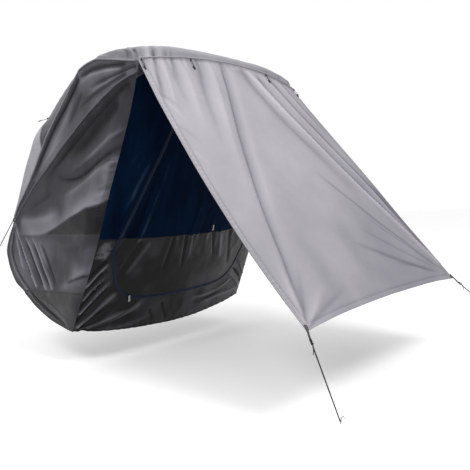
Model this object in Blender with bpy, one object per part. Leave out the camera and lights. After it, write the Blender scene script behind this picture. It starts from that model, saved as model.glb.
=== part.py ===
"""Car sunshade tent: a fabric hood, walls, a mesh door and a pegged awning.

Metres and +Z up. In the dimensions below, heights are above the ground, x is 0 on the
middle line, and y is 0 at the corners of the rear hem and grows towards the open front end.
The part's origin is on the underside of the hood, where the tent lies on what holds it up.
"""
from math import cos, pi, sin, sqrt

import bmesh
import bpy
from mathutils import Vector

# Seat: the flat patch under the hood that carries the tent
SEAT_REAR = -0.50
SEAT_FRONT = -0.26
SEAT_SHARE = 0.25
SEAT_TOP = 2.035
ORIGIN_Y = -0.42

# Cloth and gaps
CLOTH = 0.003
SEAM_PULL = 0.00025
GAP = 0.0003

# Rear lip of the hood, where the fascia, the mesh and the awning meet
LIP_HALF = 0.76
LIP_Y = -0.76
LIP_HEIGHT = 1.86
LIP_ARCH = 0.06
REAR_BOW = 0.07

# Rear hem and the side walls, which spread below SPREAD_TOP over SPREAD_FALL
HEM_HEIGHT = 0.23
HEM_DIP = 0.075
SIDE_SPREAD = 0.08
SPREAD_TOP = 1.9
SPREAD_FALL = 0.9
SIDE_FLARE = 0.035
CORNER_INSET = 0.06
CORNER_BOW = 0.015
CORNER_ROUND = 0.09
TUCK_HEIGHT = 0.45
TUCK = 0.3

# Mesh door
DOOR_LINE = 0.84
DOOR_BOTTOM = 0.445
DOOR_SHOULDER = 0.755
DOOR_HALF = 0.845
DOOR_LEAN = 0.38
DOOR_CORNER_POWER = 8
SKIRT_END = 0.97

ZIP_WIDTH = 0.012
ZIP_THICKNESS = 0.002
PULL_SIZE = (0.030, 0.008, 0.002)
PULL_LOW = (-0.585, 0.463)
PULL_HIGH = (0.205, 0.892)

# Curves of the sides, as (y, height)
SIDE_COLUMNS = 16
WING_TOP = 1.805
WING_SEAM = [(-0.576, 1.769), (-0.408, 1.706), (-0.242, 1.622), (-0.05, 1.497),
             (0.116, 1.373), (0.30, 1.245), (0.45, 1.115), (0.590, 0.985)]
FASCIA_SEAM = [(-0.76, 1.86), (-0.64, 1.888), (-0.524, 1.915), (-0.365, 1.948), (-0.249, 1.940),
               (-0.172, 1.922)]
HOOD_SEAM = [(-0.172, 1.922), (-0.043, 1.817), (0.107, 1.663), (0.233, 1.508), (0.322, 1.369),
             (0.391, 1.263), (0.456, 1.181), (0.545, 1.080), (0.600, 1.005)]
SIDE_HEM = [(0.0, 0.23), (0.148, 0.261), (0.272, 0.304), (0.411, 0.375), (0.535, 0.456)]
SIDE_FRONT = [(0.550, 0.474), (0.654, 0.541), (0.724, 0.671), (0.741, 0.760), (0.69, 0.87),
              (0.590, 0.985)]
SKIRT_SEAM_REAR = 0.493
SKIRT_SEAM_FRONT = 0.474

TAIL_EDGE = [(0.364, 1.660), (0.386, 1.504), (0.452, 1.380), (0.492, 1.270), (0.560, 1.104),
             (0.622, 1.012)]

# Rows across the hood's top, as (y at the side, half width, side height, middle's rise, bow),
# from the lip to the front edge; the fascia's sides end at row FASCIA_ROWS
FASCIA_ROWS = 5
HOOD_ROWS = [(-0.742, 0.752, 1.942, 0.043, 0.070), (-0.665, 0.750, 1.961, 0.058, 0.045),
             (-0.570, 0.745, 1.978, 0.055, 0.015), (SEAT_REAR, 0.742, 1.985, 0.050, 0.0),
             (SEAT_FRONT, 0.731, 1.973, 0.062, 0.0), (-0.129, 0.725, 1.944, 0.072, 0.0),
             (0.077, 0.720, 1.842, 0.100, 0.0), (0.220, 0.710, 1.772, 0.080, 0.0),
             (0.364, 0.690, 1.695, 0.060, -0.04)]
FRONT_HEM_UP = (0.0, 0.4, 1.0)

# Awning
AWNING_CORNER = (0.86, -1.90, 0.46)
AWNING_HOLLOW = 0.035
AWNING_LIFT = 0.02
AWNING_SAG_LEFT = 0.085
AWNING_SAG_RIGHT = 0.01
AWNING_STEP = 0.003
AWNING_HEM = 0.035
TAPE_RISE = 0.0064

# Toggles on the lip: where they hang, and the barrel as (length from the tape, share of radius)
TOGGLE_X = (-0.745, -0.40, 0.33, 0.745)
TOGGLE_SEAT = (0.0, -0.0043, 0.008)
TOGGLE_DROP = (0.012, -0.63, -0.78)
TOGGLE_RADIUS = 0.005
TOGGLE_BARREL = [(0.0, 0.35), (0.012, 0.35), (0.014, 0.7), (0.018, 1.0), (0.040, 1.0),
                 (0.044, 0.6)]

# Fittings
ROPE_RADIUS = 0.0015
CORD_RADIUS = 0.002
HEM_RADIUS = 0.004
ROPE_STEPS = 8
CORD_STEPS = 4
HOOK_STEPS = 6

# Pegs and guy ropes; a tab clears the awning's hem further where its rope drops steeply
PEG_RADIUS = 0.003
PEG_LENGTH = 0.18
PEG_GRIP = 0.010
PEG_NECK = 0.012
PEG_HOOK = 0.010
PEG_LEAN = 0.25
LEFT_PEG = (-0.68, -1.94)
RIGHT_PEG = (0.98, -2.38)
LEFT_TAB_SEAT = 0.0043
RIGHT_TAB_SEAT = 0.0004
TAB_SIZE = (0.035, 0.020, 0.002)
RUNNER_SIZE = (0.030, 0.014, 0.006)
RUNNER_BEVEL = 0.0015

# Elastic side cords, with a hook of wire at the end
CORD_END = (0.93, 0.80, 0.74)
LOOP_SIZE = (0.030, 0.016, 0.003)
LOOP_SEAT = 0.0024
LOOP_LAP = 0.002
HOOK_SHANK = 0.012
HOOK_RADIUS = 0.010
HOOK_SETBACK = 0.02

# Webbing straps at the hood's front corners
STRAP_SIZE = (0.060, 0.020, 0.003)
STRAP_WAY = (0.35, 0.75, -0.12)
STRAP_FACE = (0.3, 0.0, 1.0)
STRAP_REACH = 0.0372
STRAP_DROP = 0.004

SILVER = (0.40, 0.40, 0.42)
AWNING_GREY = (0.46, 0.46, 0.48)
CHARCOAL = (0.075, 0.075, 0.085)
BLACK = (0.015, 0.015, 0.016)
NAVY = (0.012, 0.022, 0.045)
WHITE = (0.8, 0.8, 0.78)
STEEL = (0.55, 0.55, 0.56)

CENTRE = Vector((0.0, 0.2, 1.2))


def at(x, y, height):
    """A point in the part's own frame, from its place above the ground."""
    return Vector((x, y - ORIGIN_Y, height - SEAT_TOP + CLOTH))


def smooth(t):
    """Ease from 0 to 1."""
    t = min(max(t, 0.0), 1.0)
    return t * t * (3 - 2 * t)


def steps(start, end, count):
    """Evenly spaced values, ends included."""
    return [start + (end - start) * i / count for i in range(count + 1)]


def through(points, t):
    """A smooth curve through points, for t from 0 to 1."""
    place = t * (len(points) - 1)
    i = min(int(place), len(points) - 2)
    s = place - i
    a = Vector(points[max(i - 1, 0)])
    b = Vector(points[i])
    c = Vector(points[i + 1])
    d = Vector(points[min(i + 2, len(points) - 1)])
    return 0.5 * (2 * b + (c - a) * s + (2 * a - 5 * b + 4 * c - d) * s * s
                  + (3 * b - a - 3 * c + d) * s ** 3)


def side_half(y, height):
    """Half the tent's width at a place on its side walls."""
    spread = SIDE_SPREAD * smooth((SPREAD_TOP - height) / SPREAD_FALL)
    tuck = TUCK * max(TUCK_HEIGHT - height, 0.0) ** 2
    return LIP_HALF + spread + SIDE_FLARE * max(y, 0.0) - tuck


def fall(height):
    """Share of the way from the lip down to the rear hem."""
    return (LIP_HEIGHT - height) / (LIP_HEIGHT - HEM_HEIGHT)


def corner(height):
    """x and y of the rear corner's seam at a height."""
    low = fall(height)
    middle = 4 * low * (1 - low)
    half = side_half(0.0, height) - CORNER_INSET * middle
    return half, LIP_Y * (1 - low) - CORNER_BOW * middle


def rear_point(u, height):
    """A point of the rear wall: u runs from -1 at the left corner to 1 at the right."""
    half, y = corner(height)
    low = fall(height)
    k = 1 - u * u
    return at(u * half, y - REAR_BOW * k, height + (LIP_ARCH * (1 - low) - HEM_DIP * low) * k)


def rear_axes(u, height):
    """Directions up along the rear wall and straight out of it."""
    step = 0.005
    across = rear_point(u + step, height) - rear_point(u - step, height)
    up = rear_point(u, height + step) - rear_point(u, height - step)
    return up.normalized(), across.cross(up).normalized()


def side_point(side, y, height):
    """A point of a side wall, which rounds in to the rear corner's seam."""
    seam_half, seam_y = corner(min(height, LIP_HEIGHT))
    near = min(max((y - seam_y) / CORNER_ROUND, 0.0), 1.0)
    half = side_half(y, height)
    inset = (side_half(0.0, min(height, LIP_HEIGHT)) - seam_half) * (1 - near) ** 2
    return at(side * (half - inset), y, height)


def inside(point):
    """Direction of the cloth's thickness: towards the middle of the tent."""
    return (at(*CENTRE) - point).normalized()


def downward(point):
    """Direction of the thickness of the hood's top away from its edges."""
    return Vector((0.0, 0.0, -1.0))


def colour(node, rgb, roughness, metallic=0.0):
    """Give a node a plain material of its own."""
    material = bpy.data.materials.new(node.name)
    material.use_nodes = True
    shader = material.node_tree.nodes["Principled BSDF"]
    shader.inputs["Base Color"].default_value = (*rgb, 1.0)
    shader.inputs["Roughness"].default_value = roughness
    shader.inputs["Metallic"].default_value = metallic
    node.data.materials.append(material)


def new_node(name, mesh, rgb, roughness=0.6, metallic=0.0):
    """Turn a bmesh into a named node with its own material."""
    mesh.normal_update()
    bmesh.ops.recalc_face_normals(mesh, faces=mesh.faces)
    if mesh.calc_volume(signed=True) < 0:
        bmesh.ops.reverse_faces(mesh, faces=mesh.faces)
    data = bpy.data.meshes.new(name)
    mesh.to_mesh(data)
    mesh.free()
    node = bpy.data.objects.new(name, data)
    bpy.context.scene.collection.objects.link(node)
    colour(node, rgb, roughness, metallic)
    return node


def pull_in(rows):
    """Draw the edges of a grid of points in, so that it keeps off its neighbours."""
    grid = [[point.copy() for point in row] for row in rows]
    for row, old in zip(grid, rows):
        row[0] += (old[1] - old[0]).normalized() * SEAM_PULL
        row[-1] += (old[-2] - old[-1]).normalized() * SEAM_PULL
    for column in range(len(rows[0])):
        grid[0][column] += (rows[1][column] - rows[0][column]).normalized() * SEAM_PULL
        grid[-1][column] += (rows[-2][column] - rows[-1][column]).normalized() * SEAM_PULL
    return grid


def close_shell(mesh, outer, inner):
    """Close two grids of vertices into one shell."""
    last_row = len(outer) - 1
    last = len(outer[0]) - 1
    for i in range(last_row):
        for j in range(last):
            for grid in (outer, inner):
                mesh.faces.new((grid[i][j], grid[i][j + 1], grid[i + 1][j + 1], grid[i + 1][j]))
    rim = [(0, j) for j in range(last)] + [(i, last) for i in range(last_row)]
    rim += [(last_row, j) for j in range(last, 0, -1)] + [(i, 0) for i in range(last_row, 0, -1)]
    for (i, j), (k, m) in zip(rim, rim[1:] + rim[:1]):
        mesh.faces.new((outer[i][j], outer[k][m], inner[k][m], inner[i][j]))


def panel(name, rows, rgb, middle=inside):
    """A panel of cloth from a grid of points on its outer face."""
    grid = pull_in(rows)
    mesh = bmesh.new()
    outer = [[mesh.verts.new(point) for point in row] for row in grid]
    inner = []
    for i, row in enumerate(grid):
        inner.append([])
        for j, point in enumerate(row):
            edge = i in (0, len(grid) - 1) or j in (0, len(row) - 1)
            way = inside(point) if edge else middle(point)
            inner[-1].append(mesh.verts.new(point + way * CLOTH))
    close_shell(mesh, outer, inner)
    return new_node(name, mesh, rgb)


def between(first, second, count):
    """Rows of points from one edge of a panel to the other."""
    return [[a.lerp(b, t) for a, b in zip(first, second)] for t in steps(0.0, 1.0, count)]


def ribbon(name, path, outs, width, thickness, rgb):
    """A flat tape along a path, standing off its cloth by the gap in the outs' directions."""
    mesh = bmesh.new()
    rings = []
    for i, (point, out) in enumerate(zip(path, outs)):
        along = (path[min(i + 1, len(path) - 1)] - path[max(i - 1, 0)]).normalized()
        out = (out - along * out.dot(along)).normalized()
        across = along.cross(out)
        rings.append([mesh.verts.new(point + across * width * a + out * b)
                      for a, b in ((-0.5, GAP), (0.5, GAP), (0.5, GAP + thickness),
                                   (-0.5, GAP + thickness))])
    for first, second in zip(rings, rings[1:]):
        for i in range(4):
            mesh.faces.new((first[i], first[(i + 1) % 4], second[(i + 1) % 4], second[i]))
    mesh.faces.new(rings[0])
    mesh.faces.new(rings[-1])
    return new_node(name, mesh, rgb)


def tube(name, path, radius, rgb, radii=None, roughness=0.6, metallic=0.0):
    """A round cord or bar along a path, with closed ends."""
    data = bpy.data.curves.new(name, "CURVE")
    data.dimensions = "3D"
    data.bevel_depth = radius
    data.bevel_resolution = 2
    data.use_fill_caps = True
    spline = data.splines.new("POLY")
    spline.points.add(len(path) - 1)
    for i, point in enumerate(path):
        spline.points[i].co = (*point, 1.0)
        spline.points[i].radius = radii[i] if radii else 1.0
    node = bpy.data.objects.new(name, data)
    bpy.context.scene.collection.objects.link(node)
    colour(node, rgb, roughness, metallic)
    return node


def edge_tube(name, edge, inner, normal, radius, rgb):
    """A round hem just past the edge of a panel, whose next row of points is inner."""
    path = []
    for i, (point, next_in) in enumerate(zip(edge, inner)):
        along = edge[min(i + 1, len(edge) - 1)] - edge[max(i - 1, 0)]
        out = along.cross(normal).normalized()
        if out.dot(point - next_in) < 0:
            out = -out
        path.append(point + out * (radius + GAP))
    return tube(name, path, radius, rgb)


def plate(name, centre, along, out, size, rgb, bevel=0.0):
    """A small block with its length, width and thickness laid along its own axes."""
    along = along.normalized()
    out = (out - along * out.dot(along)).normalized()
    across = out.cross(along)
    mesh = bmesh.new()
    bmesh.ops.create_cube(mesh, size=1.0)
    for vert in mesh.verts:
        a, b, c = vert.co
        vert.co = centre + along * a * size[0] + across * b * size[1] + out * c * size[2]
    if bevel:
        bmesh.ops.bevel(mesh, geom=mesh.edges[:], offset=bevel, segments=1, affect="EDGES")
    return new_node(name, mesh, rgb)


# Rear wall

def door_side(height):
    """Half width of the door at a height, as a share of the rear wall."""
    return DOOR_HALF - (height - DOOR_SHOULDER) * DOOR_LEAN


def door_bottom(a):
    """Height of the door's lower zip, for a from -1 to 1 across it."""
    return DOOR_BOTTOM + (DOOR_SHOULDER - DOOR_BOTTOM) * abs(a) ** DOOR_CORNER_POWER


# Heights shared by every panel that meets the corner seam
SKIRT_HEIGHTS = steps(HEM_HEIGHT, SKIRT_SEAM_REAR, 3)
DOOR_HEIGHTS = steps(SKIRT_SEAM_REAR, DOOR_LINE, 3)
MESH_HEIGHTS = steps(DOOR_LINE, WING_TOP, 8)
WALL_HEIGHTS = MESH_HEIGHTS + [LIP_HEIGHT]
JAMB_ROWS = 5
DOOR_SPREAD = (0.0, 0.2, 0.4, 0.58, 0.72, 0.82, 0.90, 0.96, 1.0)
DOOR_COLUMNS = [-a for a in reversed(DOOR_SPREAD[1:])] + list(DOOR_SPREAD)


def rear_wall():
    """Mesh, door panel, jambs, skirt and the door's zip."""
    mesh_rows = [[rear_point(door_side(h) * a, h) for a in DOOR_COLUMNS] for h in WALL_HEIGHTS]
    panel("door_mesh", mesh_rows, NAVY)
    for side, word in ((-1, "left"), (1, "right")):
        rows = []
        for h in WALL_HEIGHTS:
            inner_edge = door_side(h)
            rows.append([rear_point(side * u, h) for u in steps(inner_edge, 1.0, 3)])
        panel("mesh_side_" + word, rows, NAVY)
        jamb(side, word)
    rows = []
    for b in steps(0.0, 1.0, 4):
        row = []
        for a in DOOR_COLUMNS:
            u = a * (DOOR_HALF + (door_side(DOOR_LINE) - DOOR_HALF) * b)
            low = door_bottom(a)
            row.append(rear_point(u, low + (DOOR_LINE - low) * b))
        rows.append(row)
    panel("door_panel", rows, BLACK)
    rows = []
    for b in steps(0.0, 1.0, JAMB_ROWS):
        row = []
        for a in DOOR_COLUMNS:
            u = a * (SKIRT_END + (DOOR_HALF - SKIRT_END) * b)
            row.append(rear_point(u, HEM_HEIGHT + (door_bottom(a) - HEM_HEIGHT) * b))
        rows.append(row)
    panel("rear_skirt", rows, BLACK)
    edge_tube("rear_hem", rows[0], rows[1], rear_axes(0.0, HEM_HEIGHT)[1], HEM_RADIUS, BLACK)
    door_zip()


def jamb(side, word):
    """The black corner between the door's zip and the corner seam."""
    inner = [(SKIRT_END + (DOOR_HALF - SKIRT_END) * b,
              HEM_HEIGHT + (DOOR_SHOULDER - HEM_HEIGHT) * b) for b in steps(0.0, 1.0, JAMB_ROWS)]
    inner.append((door_side(DOOR_LINE), DOOR_LINE))
    rows = []
    for (u, height), outer in zip(inner, SKIRT_HEIGHTS + DOOR_HEIGHTS[1:]):
        rows.append([rear_point(side * (u + (1 - u) * t), height + (outer - height) * t)
                     for t in steps(0.0, 1.0, 3)])
    panel("rear_jamb_" + word, rows, BLACK)


def door_zip():
    """The zip's tape, down one side of the door, round its foot and up the other."""
    arms = [(door_side(h), h) for h in reversed(WALL_HEIGHTS[:-1])]
    foot = [(a * DOOR_HALF, door_bottom(a)) for a in DOOR_COLUMNS]
    route = [(-u, h) for u, h in arms] + foot + [(u, h) for u, h in reversed(arms)]
    path = [rear_point(u, h) for u, h in route]
    outs = [rear_axes(u, h)[1] for u, h in route]
    ribbon("door_zip", path, outs, ZIP_WIDTH, ZIP_THICKNESS, NAVY)


def zip_pull(name, u, height, below):
    """A zip slider's pull, with the thickness of what is below it."""
    up, out = rear_axes(u, height)
    stand_off = GAP + below + PULL_SIZE[2] / 2
    centre = rear_point(u, height) + out * stand_off - up * PULL_SIZE[0] / 3
    plate(name, centre, up, out, PULL_SIZE, WHITE)


# Side walls

def side_panels(side, word):
    """Wing, side wall, skirt, hems and the hood's side pieces."""
    def place(point):
        return side_point(side, point[0], point[1])

    corner_y = {h: corner(h)[1] for h in (WING_TOP, SKIRT_SEAM_REAR)}
    wing_seam = [(corner_y[WING_TOP], WING_TOP)] + WING_SEAM
    shares = steps(0.0, 1.0, SIDE_COLUMNS)
    lower = [through(wing_seam, t) for t in shares]
    split = FASCIA_ROWS
    fascia = [through(FASCIA_SEAM, t) for t in steps(0.0, 1.0, split)]
    hood_seam = [through(HOOD_SEAM, t) for t in steps(0.0, 1.0, SIDE_COLUMNS - split)]
    upper = fascia + hood_seam[1:]
    panel("wing_" + word, [[place(p) for p in row] for row in between(lower, upper, 4)], CHARCOAL)

    crown = [at(side * half, y, height) for y, half, height, rise, bow in HOOD_ROWS]
    fascia_low = [place(p) for p in fascia]
    panel("fascia_" + word, between(fascia_low, crown[:split + 1], 2), SILVER)

    edge_count = SIDE_COLUMNS - (len(HOOD_ROWS) - 1)
    edge = [place(through(TAIL_EDGE, t)) for t in steps(0.0, 1.0, edge_count)]
    tail_rows = between([place(p) for p in hood_seam], crown[split:] + edge[1:], 3)
    panel("hood_tail_" + word, tail_rows, SILVER)

    seam_rear = Vector((corner_y[SKIRT_SEAM_REAR], SKIRT_SEAM_REAR))
    seam_front = Vector((SIDE_FRONT[0][0], SKIRT_SEAM_FRONT))
    rows = []
    for rear_height in DOOR_HEIGHTS + MESH_HEIGHTS[1:]:
        b = (rear_height - SKIRT_SEAM_REAR) / (WING_TOP - SKIRT_SEAM_REAR)
        rear_end = Vector((corner(rear_height)[1], rear_height))
        front_end = through(SIDE_FRONT, b)
        row = []
        for t, low in zip(shares, lower):
            bottom = seam_rear.lerp(seam_front, t)
            across = rear_end.lerp(front_end, t)
            corners = seam_rear.lerp(seam_front, t).lerp(lower[0].lerp(lower[-1], t), b)
            row.append(across + bottom.lerp(low, b) - corners)
        rows.append([place(p) for p in row])
    panel("side_wall_" + word, rows, CHARCOAL)
    front_edge = [row[-1] for row in rows]
    front_inner = [row[-2] for row in rows]

    rows = []
    for rear_height in SKIRT_HEIGHTS:
        b = (rear_height - HEM_HEIGHT) / (SKIRT_SEAM_REAR - HEM_HEIGHT)
        row = []
        for t in shares:
            hem = through(SIDE_HEM, t)
            rear_end = Vector((corner(rear_height)[1], rear_height))
            front_end = Vector(SIDE_HEM[-1]).lerp(seam_front, b)
            corners = Vector(SIDE_HEM[0]).lerp(Vector(SIDE_HEM[-1]), t).lerp(
                seam_rear.lerp(seam_front, t), b)
            row.append(rear_end.lerp(front_end, t) + hem.lerp(seam_rear.lerp(seam_front, t), b)
                       - corners)
        rows.append([place(p) for p in row])
    panel("side_skirt_" + word, rows, BLACK)
    edge = rows[0][1:] + front_edge
    inner = rows[1][1:] + front_inner
    edge_tube("side_hem_" + word, edge, inner, Vector((side, 0.0, 0.0)), HEM_RADIUS, BLACK)


# Hood

def hood_middle(u):
    """Share of the middle's rise at a place across the hood, flat over the seat."""
    outer = max(abs(u) - SEAT_SHARE, 0.0) / (1 - SEAT_SHARE)
    return 1 - outer * outer


HOOD_SPREAD = (SEAT_SHARE, 0.4, 0.55, 0.7, 0.85, 1.0)
HOOD_COLUMNS = [-u for u in reversed(HOOD_SPREAD)] + list(HOOD_SPREAD)


def hood_row(y, half, height, rise, bow):
    """One row of points across the hood's top."""
    return [at(u * half, y - bow * hood_middle(u), height + rise * hood_middle(u))
            for u in HOOD_COLUMNS]


def hood():
    """The hood's top, the fascia along its lip and the front hem."""
    rows = [hood_row(*row) for row in HOOD_ROWS]
    panel("hood_top", rows, SILVER, middle=downward)
    lip = [rear_point(u, LIP_HEIGHT) for u in HOOD_COLUMNS]
    panel("fascia_centre", between(lip, rows[0], 2), SILVER)
    edge_tube("hood_front_hem", rows[-1], rows[-2], Vector(FRONT_HEM_UP), HEM_RADIUS, BLACK)


# Awning

def awning_point(u, v):
    """A point of the awning: u across from -1 to 1, v from the lip to the front edge."""
    top = rear_point(u, LIP_HEIGHT) - Vector((0.0, AWNING_STEP, 0.0))
    k = 1 - u * u
    x, y, height = AWNING_CORNER
    bottom = at(u * x, y + AWNING_HOLLOW * k, height + AWNING_LIFT * k)
    share = (1 - u) / 2
    sag = AWNING_SAG_RIGHT + (AWNING_SAG_LEFT - AWNING_SAG_RIGHT) * share
    return top.lerp(bottom, v) - Vector((0.0, 0.0, sag * 4 * v * (1 - v)))


AWNING_RUN = LIP_Y - AWNING_CORNER[1]
AWNING_FALL = LIP_HEIGHT - AWNING_CORNER[2]
AWNING_SLOPE = sqrt(AWNING_RUN ** 2 + AWNING_FALL ** 2)
AWNING_INSIDE = Vector((0.0, AWNING_FALL, -AWNING_RUN)).normalized()


def awning_panel(name, us, vs):
    """A piece of the awning between the given places."""
    grid = pull_in([[awning_point(u, v) for u in us] for v in vs])
    mesh = bmesh.new()
    outer = [[mesh.verts.new(point) for point in row] for row in grid]
    inner = [[mesh.verts.new(point + AWNING_INSIDE * CLOTH) for point in row] for row in grid]
    close_shell(mesh, outer, inner)
    return new_node(name, mesh, AWNING_GREY)


def awning():
    """The awning's sheet, its hems, the tape at the lip and the roll-up toggles."""
    edge = 1 - AWNING_HEM / LIP_HALF
    foot = 1 - AWNING_HEM / AWNING_SLOPE
    columns = steps(-edge, edge, 10)
    rows = steps(0.0, foot, 12)
    awning_panel("awning_sheet", columns, rows)
    awning_panel("awning_hem_left", [-1.0, -edge], rows)
    awning_panel("awning_hem_right", [edge, 1.0], rows)
    awning_panel("awning_hem_front", [-1.0] + columns + [1.0], [foot, 1.0])
    tape = [rear_point(u, LIP_HEIGHT) + Vector((0.0, -GAP, TAPE_RISE))
            for u in steps(-1.0, 1.0, 24)]
    outs = [Vector((0.0, -1.0, 0.0))] * len(tape)
    ribbon("awning_seam_tape", tape, outs, ZIP_WIDTH, ZIP_THICKNESS, SILVER)
    for i, x in enumerate(TOGGLE_X):
        start = rear_point(x / LIP_HALF, LIP_HEIGHT) + Vector(TOGGLE_SEAT)
        toggle(f"roll_toggle_{i + 1}", start)


def toggle(name, start):
    """A roll-up toggle: a short barrel that hangs on its cord from the lip's tape."""
    drop = Vector(TOGGLE_DROP).normalized()
    path = [start + drop * length for length, share in TOGGLE_BARREL]
    tube(name, path, TOGGLE_RADIUS, BLACK, [share for length, share in TOGGLE_BARREL])


# Ropes, pegs and straps

def guy(side, word, peg, tab_seat):
    """Corner tab, line runner, rope and peg of one corner of the awning."""
    x, y, height = AWNING_CORNER
    corner_point = at(side * x, y, height)
    foot = at(peg[0], peg[1], PEG_GRIP)
    away = foot - corner_point
    away.z = 0.0
    away.normalize()
    down = -away * sin(PEG_LEAN) - Vector((0.0, 0.0, cos(PEG_LEAN)))
    aside = away * cos(PEG_LEAN) - Vector((0.0, 0.0, sin(PEG_LEAN)))
    lean = (foot - corner_point).normalized().dot(aside)
    end = foot - aside * (PEG_RADIUS + ROPE_RADIUS * sqrt(1 - lean * lean) + GAP)
    way = (end - corner_point).normalized()
    out = -AWNING_INSIDE
    tab = corner_point + AWNING_INSIDE * CLOTH / 2 + way * (TAB_SIZE[0] / 2 + tab_seat)
    plate("corner_tab_" + word, tab, way, out, TAB_SIZE, AWNING_GREY)
    runner = tab + way * (TAB_SIZE[0] / 2 + GAP + RUNNER_SIZE[0] / 2)
    plate("line_runner_" + word, runner, way, out, RUNNER_SIZE, BLACK, RUNNER_BEVEL)
    start = runner + way * (RUNNER_SIZE[0] / 2 + GAP)
    rope = [start.lerp(end, t) for t in steps(0.0, 1.0, ROPE_STEPS)]
    tube("guy_rope_" + word, rope, ROPE_RADIUS, BLACK)
    head = foot - down * PEG_NECK
    turns = steps(0.0, pi, HOOK_STEPS)
    hook = [head + aside * PEG_HOOK * (1 - cos(a)) - down * PEG_HOOK * sin(a) for a in turns]
    shaft = [foot + down * length for length in (PEG_LENGTH, PEG_LENGTH / 2, 0.0)]
    tube("peg_" + word, shaft + hook, PEG_RADIUS, STEEL, roughness=0.35, metallic=1.0)


def side_cord(side, word):
    """Loop at the tip of the tail, with the elastic cord and its hook."""
    tip = side_point(side, HOOD_SEAM[-1][0], HOOD_SEAM[-1][1])
    hook_end = at(side * CORD_END[0], CORD_END[1], CORD_END[2])
    way = (hook_end - tip).normalized()
    out = Vector((side, 0.0, 0.0))
    loop = tip + out * LOOP_SEAT + way * (LOOP_SIZE[0] / 2 - LOOP_LAP)
    plate("side_loop_" + word, loop, way, out, LOOP_SIZE, BLACK)
    start = loop + way * (LOOP_SIZE[0] / 2 + GAP)
    end = hook_end - way * HOOK_SETBACK
    cord = [start.lerp(end, t) for t in steps(0.0, 1.0, CORD_STEPS)]
    turns = [pi * i / HOOK_STEPS for i in range(HOOK_STEPS + 2)]
    up = (Vector((0.0, 0.0, 1.0)) - way * way.z).normalized()
    hook = [end + way * (HOOK_SHANK + HOOK_RADIUS * sin(a)) + up * HOOK_RADIUS * (1 - cos(a))
            for a in turns]
    tube("side_cord_" + word, cord + hook, CORD_RADIUS, BLACK)


def roof_strap(side, word):
    """Webbing strap at the hood's front corner."""
    y, x, height = HOOD_ROWS[-1][:3]
    tip = at(side * x, y, height)
    way = Vector((side * STRAP_WAY[0], STRAP_WAY[1], STRAP_WAY[2])).normalized()
    out = Vector((side * STRAP_FACE[0], STRAP_FACE[1], STRAP_FACE[2]))
    strap = tip + way * STRAP_REACH - Vector((0.0, 0.0, STRAP_DROP))
    plate("roof_strap_" + word, strap, way, out, STRAP_SIZE, BLACK)


def main():
    for old in list(bpy.data.objects):
        bpy.data.objects.remove(old, do_unlink=True)
    hood()
    rear_wall()
    zip_pull("zip_pull_1", *PULL_LOW, GAP + ZIP_THICKNESS)
    zip_pull("zip_pull_2", *PULL_HIGH, 0.0)
    awning()
    sides = ((-1, "left", LEFT_PEG, LEFT_TAB_SEAT), (1, "right", RIGHT_PEG, RIGHT_TAB_SEAT))
    for side, word, peg, tab_seat in sides:
        side_panels(side, word)
        guy(side, word, peg, tab_seat)
        side_cord(side, word)
        roof_strap(side, word)


main()
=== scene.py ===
"""Looks of the car sunshade tent: its cloth with folds, seams and hems, and its fittings.

Metres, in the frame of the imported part. In the dimensions below, heights are above the ground,
x is 0 on the middle line, and y is 0 at the corners of the rear hem and grows to the open end.
"""
from math import cos, pi, radians, sin

import bmesh
import bpy
import numpy as np
from mathutils import Matrix, Vector


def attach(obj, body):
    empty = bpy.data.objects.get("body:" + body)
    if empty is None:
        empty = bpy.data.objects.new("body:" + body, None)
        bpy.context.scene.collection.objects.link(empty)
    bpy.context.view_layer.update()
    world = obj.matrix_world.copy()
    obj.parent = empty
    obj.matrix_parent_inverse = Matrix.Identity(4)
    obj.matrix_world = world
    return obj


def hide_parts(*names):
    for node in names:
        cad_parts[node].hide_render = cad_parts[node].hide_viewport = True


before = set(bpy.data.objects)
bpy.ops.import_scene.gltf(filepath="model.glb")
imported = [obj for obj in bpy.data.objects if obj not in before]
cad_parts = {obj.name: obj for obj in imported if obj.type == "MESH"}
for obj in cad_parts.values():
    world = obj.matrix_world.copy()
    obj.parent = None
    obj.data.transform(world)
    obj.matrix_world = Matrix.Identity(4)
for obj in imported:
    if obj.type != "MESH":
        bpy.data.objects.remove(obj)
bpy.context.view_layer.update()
bpy.ops.object.select_all(action="DESELECT")

SIDES = ((-1, "left"), (1, "right"))

# Place of the part's origin above the ground
ORIGIN_Y = -0.42
SEAT_HEIGHT = 2.032

# Rear lip, walls and hem, as the part has them
LIP_HALF = 0.76
LIP_Y = -0.76
LIP_HEIGHT = 1.86
LIP_ARCH = 0.06
REAR_BOW = 0.07
HEM_HEIGHT = 0.23
HEM_DIP = 0.075
SIDE_SPREAD = 0.08
SPREAD_TOP = 1.9
SPREAD_FALL = 0.9
SIDE_FLARE = 0.035
CORNER_INSET = 0.06
CORNER_BOW = 0.015
CORNER_ROUND = 0.09
TUCK_HEIGHT = 0.45
TUCK = 0.3

# Fullness of the cloth just round the rear corner: how much, over what run it grows, between
# what heights, and over what distance it fades out
CORNER_FULL = 0.016
CORNER_FULL_RUN = 0.012
CORNER_FULL_SPAN = (0.30, 0.90)
CORNER_FULL_FADE = 0.1

DOOR_LINE = 0.84
DOOR_BOTTOM = 0.445
DOOR_SHOULDER = 0.755
DOOR_HALF = 0.845
DOOR_LEAN = 0.38
DOOR_CORNER_POWER = 8
SKIRT_END = 0.97

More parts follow.
